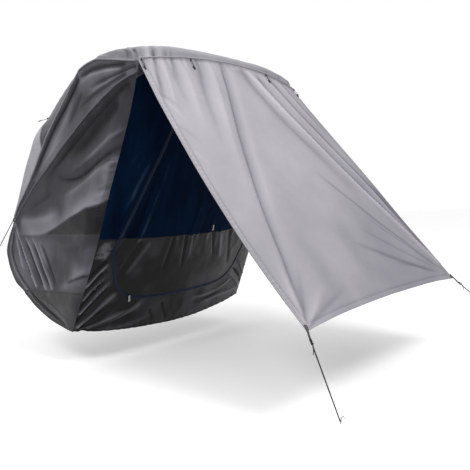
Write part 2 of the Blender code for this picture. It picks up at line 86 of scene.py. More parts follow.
# Curves of the sides, as (y, height)
WING_TOP = 1.805
WING_SEAM = [(-0.576, 1.769), (-0.408, 1.706), (-0.242, 1.622), (-0.05, 1.497),
             (0.116, 1.373), (0.30, 1.245), (0.45, 1.115), (0.590, 0.985)]
FASCIA_SEAM = [(-0.76, 1.86), (-0.64, 1.888), (-0.524, 1.915), (-0.365, 1.948), (-0.249, 1.940),
               (-0.172, 1.922)]
HOOD_SEAM = [(-0.172, 1.922), (-0.043, 1.817), (0.107, 1.663), (0.233, 1.508), (0.322, 1.369),
             (0.391, 1.263), (0.456, 1.181), (0.545, 1.080), (0.600, 1.005)]
SIDE_HEM = [(0.0, 0.23), (0.148, 0.261), (0.272, 0.304), (0.411, 0.375), (0.535, 0.456)]
SIDE_FRONT = [(0.550, 0.474), (0.654, 0.541), (0.724, 0.671), (0.741, 0.760), (0.69, 0.87),
              (0.590, 0.985)]
SKIRT_SEAM_REAR = 0.493
SKIRT_SEAM_FRONT = 0.474
TAIL_EDGE = [(0.364, 1.660), (0.386, 1.504), (0.452, 1.380), (0.492, 1.270), (0.560, 1.104),
             (0.622, 1.012)]
FASCIA_SHARE = 5 / 16

# Rows across the hood's top, as (y at the side, half width, side height, middle's rise, bow)
HOOD_ROWS = [(-0.742, 0.752, 1.942, 0.043, 0.070), (-0.665, 0.750, 1.961, 0.058, 0.045),
             (-0.570, 0.745, 1.978, 0.055, 0.015), (-0.50, 0.742, 1.985, 0.050, 0.0),
             (-0.26, 0.731, 1.973, 0.062, 0.0), (-0.129, 0.725, 1.944, 0.072, 0.0),
             (0.077, 0.720, 1.842, 0.100, 0.0), (0.220, 0.710, 1.772, 0.080, 0.0),
             (0.364, 0.690, 1.695, 0.060, -0.04)]
HOOD_FLAT = 0.25
HOOD_SPREAD = (HOOD_FLAT, 0.45, 0.65, 0.85, 1.0)
FASCIA_ROWS = 5

# Awning; its top edge laps up over the hood's band by AWNING_LAP and turns over AWNING_TURN
AWNING_CORNER = (0.86, -1.90, 0.46)
AWNING_HOLLOW = 0.035
AWNING_LIFT = 0.02
AWNING_SAG_LEFT = 0.085
AWNING_SAG_RIGHT = 0.01
AWNING_HEM = 0.035
AWNING_LENGTH = 1.81
AWNING_LAP = 0.022
AWNING_TURN = 0.016
AWNING_STAND_OFF = 0.003
AWNING_OUT = (0.0, -0.775, 0.631)

# Thicknesses: cloth is drawn a little thicker than the real 0.2 mm, so that its edges show
CLOTH = 0.0010
NETTING = 0.0008
HEM_FOLD = 0.0012
HEM_ROLL = 0.0055

# Fittings: sizes and places that the part shares, and details that only this script draws
TOGGLES = (-0.745, -0.40, 0.33, 0.745)
PULL_LOW = (-0.585, 0.463)
PULL_HIGH = (0.205, 0.892)
LEFT_PEG = (-0.68, -1.94)
RIGHT_PEG = (0.98, -2.38)
TAB_SEATS = {"left": 0.0043, "right": 0.0004}
TAB = (0.035, 0.020)
TAB_HALF = 0.0011
RUNNER = (0.030, 0.014, 0.006)
RUNNER_HOLE_PLACE = 0.0085
RUNNER_HOLE = 0.0027
PEG_RADIUS = 0.003
PEG_LENGTH = 0.18
PEG_POINT = 0.015
PEG_GRIP = 0.010
PEG_NECK = 0.012
PEG_HOOK = 0.010
PEG_LEAN = 0.25
CORD = 0.002
CORD_END = (0.93, 0.80, 0.74)
LOOP = (0.030, 0.016)
LOOP_SEAT = 0.0024
HOOK_SHANK = 0.012
HOOK_RADIUS = 0.010
HOOK_SETBACK = 0.02
HOOK_WIRE = 0.0016
WEB_HALF = 0.0015
STRAP = (0.060, 0.020)
STRAP_WAY = (0.35, 0.75, -0.12)
STRAP_REACH = 0.0372
STRAP_DROP = 0.004
BUCKLE = (0.014, 0.026, 0.006)
BUCKLE_PITCH = 0.007
BUCKLE_HOLE = 0.0028
# Radius of the guy ropes, thicker than the real 1.5 mm so that they show
ROPE = 0.0022

# Camera, fitted to the photo: place in the part's frame, aim in degrees, focal length in pixels
CAMERA_PLACE = (-2.8363, -2.8397, -1.0034)
CAMERA_YAW = 48.497
CAMERA_PITCH = -3.296
CAMERA_ROLL = -2.869
CAMERA_FOCAL = 557.1
IMAGE_SIZE = 470
SENSOR = 36.0


# Curves and surfaces

def at(x, y, height):
    """Points in the part's frame, from their places above the ground."""
    x, y, height = np.broadcast_arrays(x, y, height)
    return np.stack([x, y - ORIGIN_Y, height - SEAT_HEIGHT], axis=-1).astype(float)


def smooth(t):
    """Ease from 0 to 1."""
    t = np.clip(t, 0.0, 1.0)
    return t * t * (3 - 2 * t)


def through(points, t):
    """A smooth curve through points, for t from 0 to 1."""
    points = np.asarray(points, float)
    place = np.clip(np.asarray(t, float), 0.0, 1.0) * (len(points) - 1)
    i = np.minimum(place.astype(int), len(points) - 2)
    s = (place - i)[..., None]
    a = points[np.maximum(i - 1, 0)]
    b = points[i]
    c = points[i + 1]
    d = points[np.minimum(i + 2, len(points) - 1)]
    return 0.5 * (2 * b + (c - a) * s + (2 * a - 5 * b + 4 * c - d) * s ** 2
                  + (3 * b - a - 3 * c + d) * s ** 3)


def curve(points, count):
    """Evenly spread points of a smooth curve through others."""
    return through([tuple(p) for p in points], np.linspace(0.0, 1.0, count))


def mix(start, end, share):
    """Between two values or places, by a share of the way."""
    return start + (end - start) * share


def unit(v):
    """Vectors of length one."""
    return v / np.maximum(np.linalg.norm(v, axis=-1, keepdims=True), 1e-12)


def side_half(y, height):
    """How far the side is from the middle: wider below, then tucked in to the hem."""
    spread = SIDE_SPREAD * smooth((SPREAD_TOP - height) / SPREAD_FALL)
    tuck = TUCK * np.maximum(TUCK_HEIGHT - height, 0.0) ** 2
    return LIP_HALF + spread + SIDE_FLARE * np.maximum(y, 0.0) - tuck


def fall(height):
    """Share of the way from the lip down to the hem."""
    return (LIP_HEIGHT - height) / (LIP_HEIGHT - HEM_HEIGHT)


def corner(height):
    """Half width and y of the rear corner's seam at a height."""
    low = fall(height)
    middle = 4 * low * (1 - low)
    half = side_half(0.0, height) - CORNER_INSET * middle
    return half, LIP_Y * (1 - low) - CORNER_BOW * middle


def rear_point(u, height):
    """The rear wall: u runs from -1 at the left corner to 1 at the right."""
    half, y = corner(height)
    low = fall(height)
    k = 1 - u * u
    return at(u * half, y - REAR_BOW * k, height + (LIP_ARCH * (1 - low) - HEM_DIP * low) * k)


def side_point(side, y, height):
    """A side wall, which rounds in to the rear corner's seam and is full just beside it."""
    capped = np.minimum(height, LIP_HEIGHT)
    seam_half, seam_y = corner(capped)
    beside = np.maximum(y - seam_y, 0.0)
    near = np.clip(beside / CORNER_ROUND, 0.0, 1.0)
    inset = (side_half(0.0, capped) - seam_half) * (1 - near) ** 2
    low, high = CORNER_FULL_SPAN
    span = smooth((height - low) / CORNER_FULL_FADE) * smooth((high - height) / CORNER_FULL_FADE)
    full = 1 - np.exp(-beside / CORNER_FULL_RUN)
    full = CORNER_FULL * full * np.exp(-beside / CORNER_FULL_FADE) * span
    return at(side * (side_half(y, height) - inset + full), y, height)


def hood_middle(u):
    """Share of the middle's rise at a place across the hood, flat in its middle."""
    outer = np.maximum(np.abs(u) - HOOD_FLAT, 0.0) / (1 - HOOD_FLAT)
    return 1 - outer * outer


def hood_row(row, u):
    """Places across one of the hood's rows."""
    y, half, height, rise, bow = HOOD_ROWS[row]
    k = hood_middle(u)
    return at(u * half, y - bow * k, height + rise * k)


def awning_point(u, v):
    """The awning: u across from -1 to 1, v from the lip to the front edge, below 0 on the lap."""
    u, v = np.broadcast_arrays(u, v)
    lip = rear_point(u, LIP_HEIGHT + 0.0 * u)
    k = 1 - u * u
    x, y, height = AWNING_CORNER
    foot = at(u * x, y + AWNING_HOLLOW * k, height + AWNING_LIFT * k)
    sag = AWNING_SAG_RIGHT + (AWNING_SAG_LEFT - AWNING_SAG_RIGHT) * (1 - u) / 2
    slope = mix(lip, foot, v[..., None])
    slope[..., 2] -= sag * 4 * v * (1 - v)
    run = v * AWNING_LENGTH
    band = lip - unit(hood_row(0, u) - lip) * run[..., None]
    band[..., 1] -= AWNING_STAND_OFF
    turn = smooth((run + AWNING_TURN) / (2 * AWNING_TURN))[..., None]
    return mix(band, slope, turn)


def door_side(height):
    """Half width of the door, as a share of the rear wall's."""
    return DOOR_HALF - (height - DOOR_SHOULDER) * DOOR_LEAN


def door_bottom(a):
    """Height of the door's foot, with a from -1 to 1 across it."""
    return mix(DOOR_BOTTOM, DOOR_SHOULDER, np.abs(a) ** DOOR_CORNER_POWER)


# Folds

NOISE_SIDE = 64
# Points along each fold's curve, and how fast its sides fall off
FOLD_STEPS = 14
FOLD_STEEPNESS = 1.6
# Steps over which directions are measured: of the smooth base, and of the folded cloth
BASE_STEP = 0.002
CLOTH_STEP = 0.004
# Average of the ridges that crinkle adds up, taken off them
CRINKLE_LEVEL = 0.62


def noise(x, y, seed):
    """Smooth noise from -1 to 1 on a lattice one unit wide."""
    lattice = np.random.default_rng(seed).uniform(-1.0, 1.0, (NOISE_SIDE, NOISE_SIDE))
    i = np.floor(x).astype(int)
    j = np.floor(y).astype(int)
    s = smooth(x - i)
    t = smooth(y - j)

    def cell(a, b):
        return lattice[a % NOISE_SIDE, b % NOISE_SIDE]

    low = cell(i, j) * (1 - s) + cell(i + 1, j) * s
    high = cell(i, j + 1) * (1 - s) + cell(i + 1, j + 1) * s
    return low * (1 - t) + high * t


def crinkle(x, y, seed):
    """Sharp little ridges of creased cloth, about 0 on average and up to 0.4."""
    total = -CRINKLE_LEVEL
    for octave, share in enumerate((0.6, 0.3, 0.1)):
        scale = 2 ** octave
        total = total + share * (1 - np.abs(noise(x * scale + 7.3 * octave, y * scale, seed + octave)))
    return total


def nearest(path, points):
    """From each point, the way from the nearest place on a path, its share along and its run."""
    runs = path[1:] - path[:-1]
    best = np.full(len(points), np.inf)
    way = np.zeros_like(points)
    share = np.zeros(len(points))
    heading = np.zeros_like(points)
    for i, run in enumerate(runs):
        offset = points - path[i]
        t = np.clip(offset @ run / max(run @ run, 1e-12), 0.0, 1.0)
        offset = offset - t[:, None] * run
        distance = (offset ** 2).sum(axis=1)
        closer = distance < best
        best[closer] = distance[closer]
        way[closer] = offset[closer]
        share[closer] = (i + t[closer]) / len(runs)
        heading[closer] = run
    return way, share, heading


class Fold:
    """A ridge, or a valley where its height is negative, along a curve on a surface.

    reach is how far it spreads on its upper or left side, and on its lower or right side. shade
    is how much lighter the ridge, or darker the valley, is than the cloth around it. ends are
    the shares of its length over which it rises and dies. crisp is 0 for a knife edge and 1 for
    a round one, and grow is how much wider it is at its far end.
    """

    def __init__(self, points, height, reach, shade, ends, crisp=0.3, grow=1.0):
        self.points = points
        self.height = height
        self.reach = reach
        self.shade = shade if height > 0 else -shade
        self.ends = ends
        self.crisp = crisp
        self.grow = grow

    def shape(self, base, points, normals, hand):
        """How much of the fold's height each point has, from 0 to 1."""
        path = base(*curve(self.points, FOLD_STEPS).T)
        way, share, heading = nearest(path, points)
        side = np.einsum("ij,ij->i", np.cross(heading, normals), way) * hand
        reach = np.where(side > 0, self.reach[1], self.reach[0]) * mix(1, self.grow, share)
        x = np.linalg.norm(way, axis=1) / reach
        profile = np.exp(-FOLD_STEEPNESS * (np.sqrt(x * x + self.crisp ** 2) - self.crisp))
        start = smooth(share / self.ends[0]) if self.ends[0] else 1.0
        end = smooth((1 - share) / self.ends[1]) if self.ends[1] else 1.0
        return profile * start * end


class Surface:
    """A stretch of cloth: a smooth base with folds on it.

    outward is the sign that turns its normals out of the tent. extra gives the rise and tone
    that aren't folds, and keep the share of the rise that is left beside seams.
    """

    def __init__(self, base, outward, folds, extra, keep):
        self.base = base
        self.outward = outward
        self.folds = folds
        self.extra = extra
        self.keep = keep

    def directions(self, points, a, b, step):
        da = points(a + step, b) - points(a - step, b)
        db = points(a, b + step) - points(a, b - step)
        return unit(np.cross(da, db)) * self.outward

    def relief(self, a, b):
        """Places at rest, their normals, how far they rise and how light they are."""
        a, b = (np.array(v, float).ravel() for v in np.broadcast_arrays(a, b))
        rest = self.base(a, b)
        normals = self.directions(self.base, a, b, BASE_STEP)
        rise, tone = self.extra(a, b)
        for item in self.folds:
            shape = item.shape(self.base, rest, normals, self.outward)
            rise = rise + item.height * shape
            tone = tone + item.shade * shape
        return rest, normals, rise * self.keep(a, b), tone

    def points(self, a, b, lift=0.0):
        """Points on the folded cloth, lifted off it by a little."""
        shape = np.broadcast(a, b).shape
        rest, normals, rise, _ = self.relief(a, b)
        return (rest + normals * (rise + lift)[:, None]).reshape(shape + (3,))

    def facing(self, a, b):
        """Directions straight out of the folded cloth."""
        return self.directions(self.points, a, b, CLOTH_STEP)


# Awning folds, as (u, v): gathers that hang from the left of the lip, one long fold to the left
# corner, and the taut ridge with its hollows from the lip to the right corner
AWNING_FOLDS = [
    Fold([(-0.95, -0.012), (-0.965, 0.01), (-0.985, 0.04)], -0.007, (0.008, 0.009), 0.8, (0.0, 0.5)),
    Fold([(-0.91, -0.012), (-0.93, 0.05), (-0.96, 0.13)], 0.007, (0.010, 0.012), 0.25, (0.0, 0.5),
         0.4),
    Fold([(-0.865, -0.012), (-0.875, 0.01), (-0.90, 0.07), (-0.93, 0.12), (-0.965, 0.19)], -0.010,
         (0.011, 0.013), 0.75, (0.0, 0.4)),
    Fold([(-0.80, -0.01), (-0.82, 0.05), (-0.86, 0.14), (-0.90, 0.22)], 0.009, (0.016, 0.016), 0.25,
         (0.0, 0.5), 0.6),
    Fold([(-0.705, -0.01), (-0.72, 0.02), (-0.745, 0.09), (-0.76, 0.20)], -0.009, (0.018, 0.017),
         0.5, (0.0, 0.5), 0.5, 1.3),
    Fold([(-0.61, -0.01), (-0.64, 0.07), (-0.70, 0.20), (-0.76, 0.32)], 0.009, (0.028, 0.026), 0.25,
         (0.0, 0.5), 0.7, 1.2),
    Fold([(-0.455, -0.01), (-0.47, 0.04), (-0.53, 0.12), (-0.61, 0.26), (-0.68, 0.38)], -0.011,
         (0.026, 0.024), 0.5, (0.0, 0.6), 0.5, 1.2),
    Fold([(-0.33, -0.01), (-0.37, 0.08), (-0.47, 0.22), (-0.60, 0.40), (-0.72, 0.60)], 0.011,
         (0.040, 0.022), 0.3, (0.0, 0.6), 0.6),
    Fold([(-0.20, -0.01), (-0.21, 0.03), (-0.27, 0.12), (-0.39, 0.25), (-0.52, 0.41), (-0.66, 0.60),
         (-0.78, 0.79), (-0.94, 0.98)], -0.016, (0.014, 0.034), 0.65, (0.0, 0.15), 0.2),
    Fold([(-0.12, 0.0), (-0.17, 0.10), (-0.29, 0.24), (-0.43, 0.41), (-0.58, 0.61), (-0.76, 0.82)],
         0.009, (0.026, 0.060), 0.2, (0.1, 0.4), 0.7),
    Fold([(-0.97, 0.135), (-0.92, 0.175), (-0.84, 0.245)], 0.004, (0.006, 0.012), 0.3, (0.3, 0.4),
         0.2),
    Fold([(-0.96, 0.115), (-0.90, 0.15), (-0.83, 0.20)], -0.004, (0.008, 0.010), 0.3, (0.3, 0.5)),
    Fold([(-0.96, 0.24), (-0.90, 0.27), (-0.83, 0.33)], -0.003, (0.008, 0.012), 0.25, (0.2, 0.5)),
    Fold([(-0.96, 0.34), (-0.92, 0.36), (-0.86, 0.41)], 0.003, (0.008, 0.012), 0.25, (0.2, 0.5)),
    Fold([(0.06, -0.005), (0.13, 0.07), (0.25, 0.21), (0.39, 0.34), (0.52, 0.47), (0.64, 0.62)],
         -0.016, (0.075, 0.022), 0.55, (0.05, 0.5), 0.5),
    Fold([(0.14, -0.005), (0.29, 0.165), (0.50, 0.345), (0.71, 0.555), (0.88, 0.80),
         (0.985, 0.975)], 0.018, (0.020, 0.015), 0.75, (0.03, 0.08), 0.08, 0.8),
    Fold([(0.24, 0.0), (0.42, 0.17), (0.60, 0.34), (0.78, 0.55), (0.92, 0.80)], -0.016,
         (0.014, 0.017), 0.95, (0.08, 0.2), 0.35, 0.8),
    Fold([(0.34, -0.005), (0.52, 0.13), (0.69, 0.29), (0.85, 0.52), (0.95, 0.80)], 0.011,
         (0.014, 0.018), 0.45, (0.05, 0.3), 0.15, 0.8),
    Fold([(0.46, -0.005), (0.63, 0.13), (0.79, 0.30), (0.91, 0.52), (0.97, 0.78)], -0.011,
         (0.014, 0.016), 0.85, (0.05, 0.2), 0.35, 0.8),
    Fold([(0.60, -0.005), (0.74, 0.11), (0.87, 0.28)], 0.008, (0.012, 0.016), 0.35, (0.05, 0.5), 0.2),
    Fold([(0.72, -0.005), (0.84, 0.11), (0.93, 0.26)], -0.008, (0.012, 0.014), 0.7, (0.05, 0.5)),
    Fold([(0.97, 0.50), (0.985, 0.70), (0.97, 0.90)], -0.006, (0.030, 0.012), 0.7, (0.3, 0.2), 0.6),
    Fold([(0.18, 0.46), (0.30, 0.545), (0.48, 0.65), (0.70, 0.79), (0.95, 0.965)], -0.005,
         (0.020, 0.008), 0.45, (0.25, 0.2), 0.2),
    Fold([(0.40, 0.66), (0.62, 0.78), (0.96, 0.968)], -0.003, (0.012, 0.008), 0.25, (0.4, 0.2)),
    Fold([(0.22, 0.72), (0.52, 0.83), (0.93, 0.972)], -0.003, (0.012, 0.008), 0.25, (0.4, 0.2)),
    Fold([(0.35, 0.89), (0.60, 0.92), (0.92, 0.978)], -0.003, (0.012, 0.008), 0.2, (0.4, 0.2)),
    Fold([(0.00, 0.77), (0.24, 0.83), (0.50, 0.895), (0.86, 0.975)], -0.005, (0.020, 0.012), 0.35,
         (0.4, 0.2), 0.4),
    Fold([(-0.97, 0.985), (-0.90, 0.88), (-0.82, 0.74)], 0.007, (0.010, 0.014), 0.4, (0.0, 0.6),
         0.3, 2.0),
    Fold([(-0.97, 0.985), (-0.86, 0.92), (-0.68, 0.80)], -0.008, (0.010, 0.014), 0.5, (0.0, 0.6),
         0.3, 2.4),
    Fold([(-0.96, 0.99), (-0.80, 0.95), (-0.56, 0.88)], 0.006, (0.010, 0.016), 0.35, (0.0, 0.6),
         0.4, 2.4),
    Fold([(-0.96, 0.995), (-0.64, 0.955), (-0.32, 0.92)], -0.005, (0.012, 0.014), 0.3, (0.0, 0.6),
         0.4, 1.6),
    Fold([(-0.954, 0.02), (-0.954, 0.50), (-0.954, 0.975)], -0.002, (0.003, 0.006), 0.4,
         (0.02, 0.02), 0.4),
    Fold([(-0.97, 0.981), (0.0, 0.981), (0.97, 0.981)], -0.002, (0.005, 0.003), 0.35, (0.02, 0.02)),
]


def awning_extra(u, v):
    """Puckers where the lip is gathered and along the side hems, painted lighter on their ridges,
    slack, random mottling, and painted shade towards the front, the right corner and the left of the
    lip.
    """
    left = 0.25 + 0.75 * smooth((-u - 0.2) / 0.5)
    gather = (np.sin(u * 83.0) + 0.6 * np.sin(u * 127.0 + 1.3)) * left * np.exp(-np.abs(v) / 0.035)
    hem = np.exp(-((np.abs(u) - 0.978) / 0.02) ** 2) * np.sin(v * 520.0 + 3 * np.sin(v * 31.0))
    slack = noise(u * 3.0 + 5.0, v * 2.0 + 40.0, 11) * 0.006
    slack = (slack + noise(u * 9.0, v * 7.0 + 40.0, 12) * 0.0012) * smooth(v / 0.15)
    # Painted shade towards the far right corner, the front and the left of the lip
    shade = 0.42 * smooth((u + v - 0.35) / 1.3)
    shade = shade + 0.24 * smooth((v - 0.4) / 0.5) * smooth((0.8 - u) / 0.6)
    shade = shade + 0.14 * np.exp(-np.maximum(v, 0.0) / 0.3) * smooth((0.1 - u) / 0.6)
    rise = 0.0030 * gather + 0.0010 * hem + slack
    return rise, 0.22 * gather + 0.16 * hem - shade + 0.10 * noise(u * 6.0, v * 5.0 + 40.0, 13)


def awning_keep(u, v):
    """Folds are shallow at the lip, where the cloth is sewn to the hood's band."""
    return 0.15 + 0.85 * smooth(v / 0.07) + 0.0 * u


awning = Surface(awning_point, -1, AWNING_FOLDS, awning_extra, awning_keep)

# Rear wall folds, as (u, height): those of the left corner fan out from the hem's corner
REAR_FOLDS = [
    Fold([(-1.0, 0.585), (-0.92, 0.665), (-0.84, 0.735)], -0.012, (0.008, 0.010), 1.2, (0.0, 0.3),
         0.2),
    Fold([(-1.0, 0.53), (-0.93, 0.62), (-0.84, 0.70)], 0.014, (0.008, 0.012), 1.0, (0.0, 0.3), 0.1),
    Fold([(-1.0, 0.49), (-0.93, 0.575), (-0.85, 0.65)], -0.014, (0.009, 0.010), 1.2, (0.0, 0.3), 0.2),
    Fold([(-0.99, 0.445), (-0.93, 0.53), (-0.84, 0.605)], 0.013, (0.008, 0.010), 0.7, (0.0, 0.3),
         0.15),
    Fold([(-0.99, 0.405), (-0.92, 0.495), (-0.83, 0.575)], -0.014, (0.009, 0.010), 1.2, (0.0, 0.3),
         0.2),
    Fold([(-0.99, 0.355), (-0.90, 0.465), (-0.79, 0.58)], 0.018, (0.009, 0.013), 1.15, (0.0, 0.3),
         0.08, 1.1),
    Fold([(-0.98, 0.31), (-0.88, 0.425), (-0.77, 0.54)], -0.016, (0.010, 0.012), 1.25, (0.0, 0.3),
         0.2, 1.2),
    Fold([(-0.975, 0.26), (-0.84, 0.385), (-0.70, 0.51)], 0.020, (0.012, 0.018), 1.2, (0.0, 0.25),
         0.08, 1.4),
    Fold([(-0.96, 0.25), (-0.81, 0.345), (-0.66, 0.445)], -0.014, (0.011, 0.013), 1.1, (0.0, 0.3),
         0.2, 1.4),
    Fold([(-0.96, 0.24), (-0.76, 0.30), (-0.54, 0.38)], 0.014, (0.010, 0.015), 0.95, (0.0, 0.35),
         0.1, 1.5),
    Fold([(-0.93, 0.235), (-0.70, 0.285), (-0.46, 0.36)], -0.011, (0.012, 0.014), 0.9, (0.0, 0.4),
         0.3, 1.4),
    Fold([(-0.91, 0.24), (-0.65, 0.305), (-0.40, 0.45)], 0.014, (0.014, 0.022), 0.85, (0.1, 0.25),
         0.1, 1.3),
    Fold([(-0.88, 0.22), (-0.55, 0.265), (-0.25, 0.34)], 0.008, (0.018, 0.028), 0.4, (0.1, 0.5),
         0.5, 1.4),
    Fold([(-0.22, 0.40), (-0.17, 0.33), (-0.10, 0.26)], -0.009, (0.012, 0.010), 0.9, (0.2, 0.3), 0.2),
    Fold([(-0.34, 0.36), (-0.30, 0.31), (-0.27, 0.27)], -0.006, (0.012, 0.010), 0.6, (0.2, 0.4)),
    Fold([(0.12, 0.385), (0.32, 0.375), (0.56, 0.385), (0.82, 0.455)], 0.010, (0.008, 0.022), 0.6,
         (0.3, 0.25), 0.2),
    Fold([(0.18, 0.35), (0.40, 0.335), (0.70, 0.36)], -0.008, (0.014, 0.014), 0.6, (0.3, 0.4), 0.4),
    Fold([(0.30, 0.315), (0.60, 0.325), (0.96, 0.31)], 0.009, (0.012, 0.018), 0.5, (0.3, 0.2)),
    Fold([(0.66, 0.49), (0.83, 0.40), (0.985, 0.29)], 0.010, (0.010, 0.012), 0.6, (0.3, 0.05), 0.15),
    Fold([(0.72, 0.53), (0.88, 0.44), (0.985, 0.35)], -0.010, (0.010, 0.011), 0.9, (0.3, 0.05)),
    Fold([(0.78, 0.60), (0.90, 0.50), (0.99, 0.42)], 0.010, (0.010, 0.012), 0.45, (0.3, 0.05), 0.2),
    Fold([(-0.68, 0.60), (-0.60, 0.71), (-0.50, 0.83)], 0.007, (0.012, 0.018), 0.5, (0.3, 0.2), 0.2),
    Fold([(-0.76, 0.58), (-0.69, 0.70), (-0.60, 0.83)], -0.007, (0.014, 0.016), 0.7, (0.3, 0.2), 0.4),
    Fold([(-0.86, 0.70), (-0.78, 0.80), (-0.70, 0.95)], -0.007, (0.016, 0.018), 0.7, (0.2, 0.3), 0.4),
    Fold([(-0.30, 0.60), (-0.28, 0.72), (-0.26, 0.84)], -0.006, (0.014, 0.016), 0.5, (0.4, 0.1), 0.4),
    Fold([(-0.08, 0.62), (-0.10, 0.73), (-0.12, 0.86)], -0.008, (0.012, 0.012), 0.9, (0.3, 0.1)),
    Fold([(-0.02, 0.66), (-0.03, 0.75), (-0.05, 0.86)], 0.006, (0.010, 0.012), 0.45, (0.4, 0.1)),
    Fold([(0.34, 0.66), (0.28, 0.76), (0.22, 0.88)], -0.008, (0.009, 0.010), 0.9, (0.3, 0.1), 0.2),
    Fold([(0.44, 0.62), (0.38, 0.76), (0.32, 0.90)], 0.008, (0.014, 0.024), 0.5, (0.3, 0.2), 0.5),
    Fold([(0.62, 0.56), (0.56, 0.70), (0.50, 0.86)], -0.007, (0.016, 0.018), 0.6, (0.3, 0.2), 0.5),
    Fold([(-0.64, 0.80), (-0.59, 0.96), (-0.54, 1.16), (-0.49, 1.38)], 0.007, (0.010, 0.016), 0.8,
         (0.1, 0.3), 0.2),
    Fold([(-0.70, 0.84), (-0.66, 1.00), (-0.60, 1.24)], -0.006, (0.014, 0.018), 0.8, (0.1, 0.4), 0.4),
    Fold([(-0.87, 0.96), (-0.78, 1.14), (-0.66, 1.42)], 0.006, (0.014, 0.026), 0.6, (0.2, 0.3), 0.4),
    Fold([(-0.06, 0.82), (-0.035, 0.95), (0.0, 1.12)], 0.005, (0.007, 0.009), 0.7, (0.1, 0.5), 0.2),
    Fold([(0.15, 0.80), (0.19, 0.90), (0.25, 1.05)], 0.005, (0.007, 0.009), 0.6, (0.1, 0.5), 0.2),
    Fold([(0.05, 0.82), (0.08, 0.92), (0.12, 1.06)], -0.004, (0.009, 0.010), 0.5, (0.1, 0.5)),
    Fold([(0.02, 1.04), (0.12, 1.24), (0.20, 1.55)], -0.008, (0.040, 0.050), 0.3, (0.3, 0.4), 0.8),
]

# Creased corner above the left jamb's folds, painted lighter as lit: middle as (u, height), and half
# sizes
JAMB_LIGHT = (0.925, 0.765)
JAMB_LIGHT_SIZE = (0.055, 0.055)


def rear_extra(u, height):
    """Crumpled upper jambs painted lighter as lit, puckers along the hem and the door's top edge
    painted lighter on their ridges, slack, and random mottling with a painted sheen lighter towards
    the right.
    """
    u0, h0 = JAMB_LIGHT
    du, dh = JAMB_LIGHT_SIZE
    lean = (np.abs(u) - u0) + 0.35 * (height - h0)
    lit = np.exp(-(lean / du) ** 4 - ((height - h0) / dh) ** 4)
    creased = crinkle(u * 30.0, height * 34.0, 21)
    hem = np.exp(-(height - HEM_HEIGHT) / 0.025) * (np.sin(u * 70.0) + 0.6 * np.sin(u * 113.0))
    under = np.exp(-np.maximum(DOOR_LINE - height, 0.0) / 0.05) * (height < DOOR_LINE)
    pucker = under * (np.sin(u * 47.0) + 0.7 * np.sin(u * 81.0 + 0.7)) * smooth((u + 0.5) / 0.3)
    slack = noise(u * 4.0 + 3.0, height * 5.0, 22) * 0.004
    slack = slack + noise(u * 16.0, height * 18.0, 23) * 0.0014
    # Random mottling, with a painted sheen lighter towards the right; the tone also paints the creased
    # corners and the puckers' ridges lighter as light
    broad_tone = 0.22 * noise(u * 7.0 + 9.0, height * 8.0, 24) + 0.16 * smooth((u + 0.1) / 0.8)
    tone = lit * (0.95 + 1.9 * creased) + 0.12 * hem + 0.18 * pucker + broad_tone
    return 0.016 * creased * lit + 0.0016 * hem + 0.0016 * pucker + slack, tone


def rear_keep(u, height):
    """Folds die out at the corner seams and the lip, where the cloth is sewn down."""
    return smooth((1 - np.abs(u)) / 0.012) * smooth((LIP_HEIGHT - height) / 0.06)


rear = Surface(rear_point, 1, REAR_FOLDS, rear_extra, rear_keep)

# Side folds, as (y, height)
WING_FOLDS = [
    Fold([(-0.66, 1.862), (-0.46, 1.890), (-0.30, 1.898), (-0.15, 1.875)], -0.014, (0.012, 0.016),
         0.8, (0.1, 0.2)),
    Fold([(-0.62, 1.835), (-0.45, 1.856), (-0.28, 1.855), (-0.12, 1.815)], 0.010, (0.016, 0.030),
         0.35, (0.1, 0.4), 0.5),
    Fold([(-0.72, 1.835), (-0.58, 1.822), (-0.42, 1.812), (-0.26, 1.79)], -0.010, (0.012, 0.016),
         0.6, (0.0, 0.4), 0.3, 1.4),
    Fold([(-0.70, 1.825), (-0.56, 1.805), (-0.38, 1.775), (-0.20, 1.73)], 0.008, (0.012, 0.018),
         0.35, (0.0, 0.4), 0.3, 1.4),
    Fold([(-0.66, 1.81), (-0.50, 1.782), (-0.32, 1.74), (-0.12, 1.65)], -0.008, (0.012, 0.018), 0.6,
         (0.1, 0.4), 0.4, 1.3),
    Fold([(-0.16, 1.895), (-0.07, 1.80), (0.05, 1.685), (0.16, 1.565), (0.28, 1.40), (0.40, 1.22)],
         -0.014, (0.010, 0.034), 1.25, (0.1, 0.2)),
    Fold([(-0.11, 1.79), (-0.03, 1.65), (0.08, 1.50), (0.20, 1.36)], 0.007, (0.020, 0.030), 0.2,
         (0.2, 0.4), 0.7),
    Fold([(-0.20, 1.78), (-0.12, 1.68), (-0.02, 1.56)], -0.007, (0.020, 0.024), 0.4, (0.3, 0.4), 0.6),
    Fold([(0.00, 1.52), (0.14, 1.41), (0.30, 1.29)], 0.004, (0.018, 0.018), 0.1, (0.3, 0.4), 0.4),
]
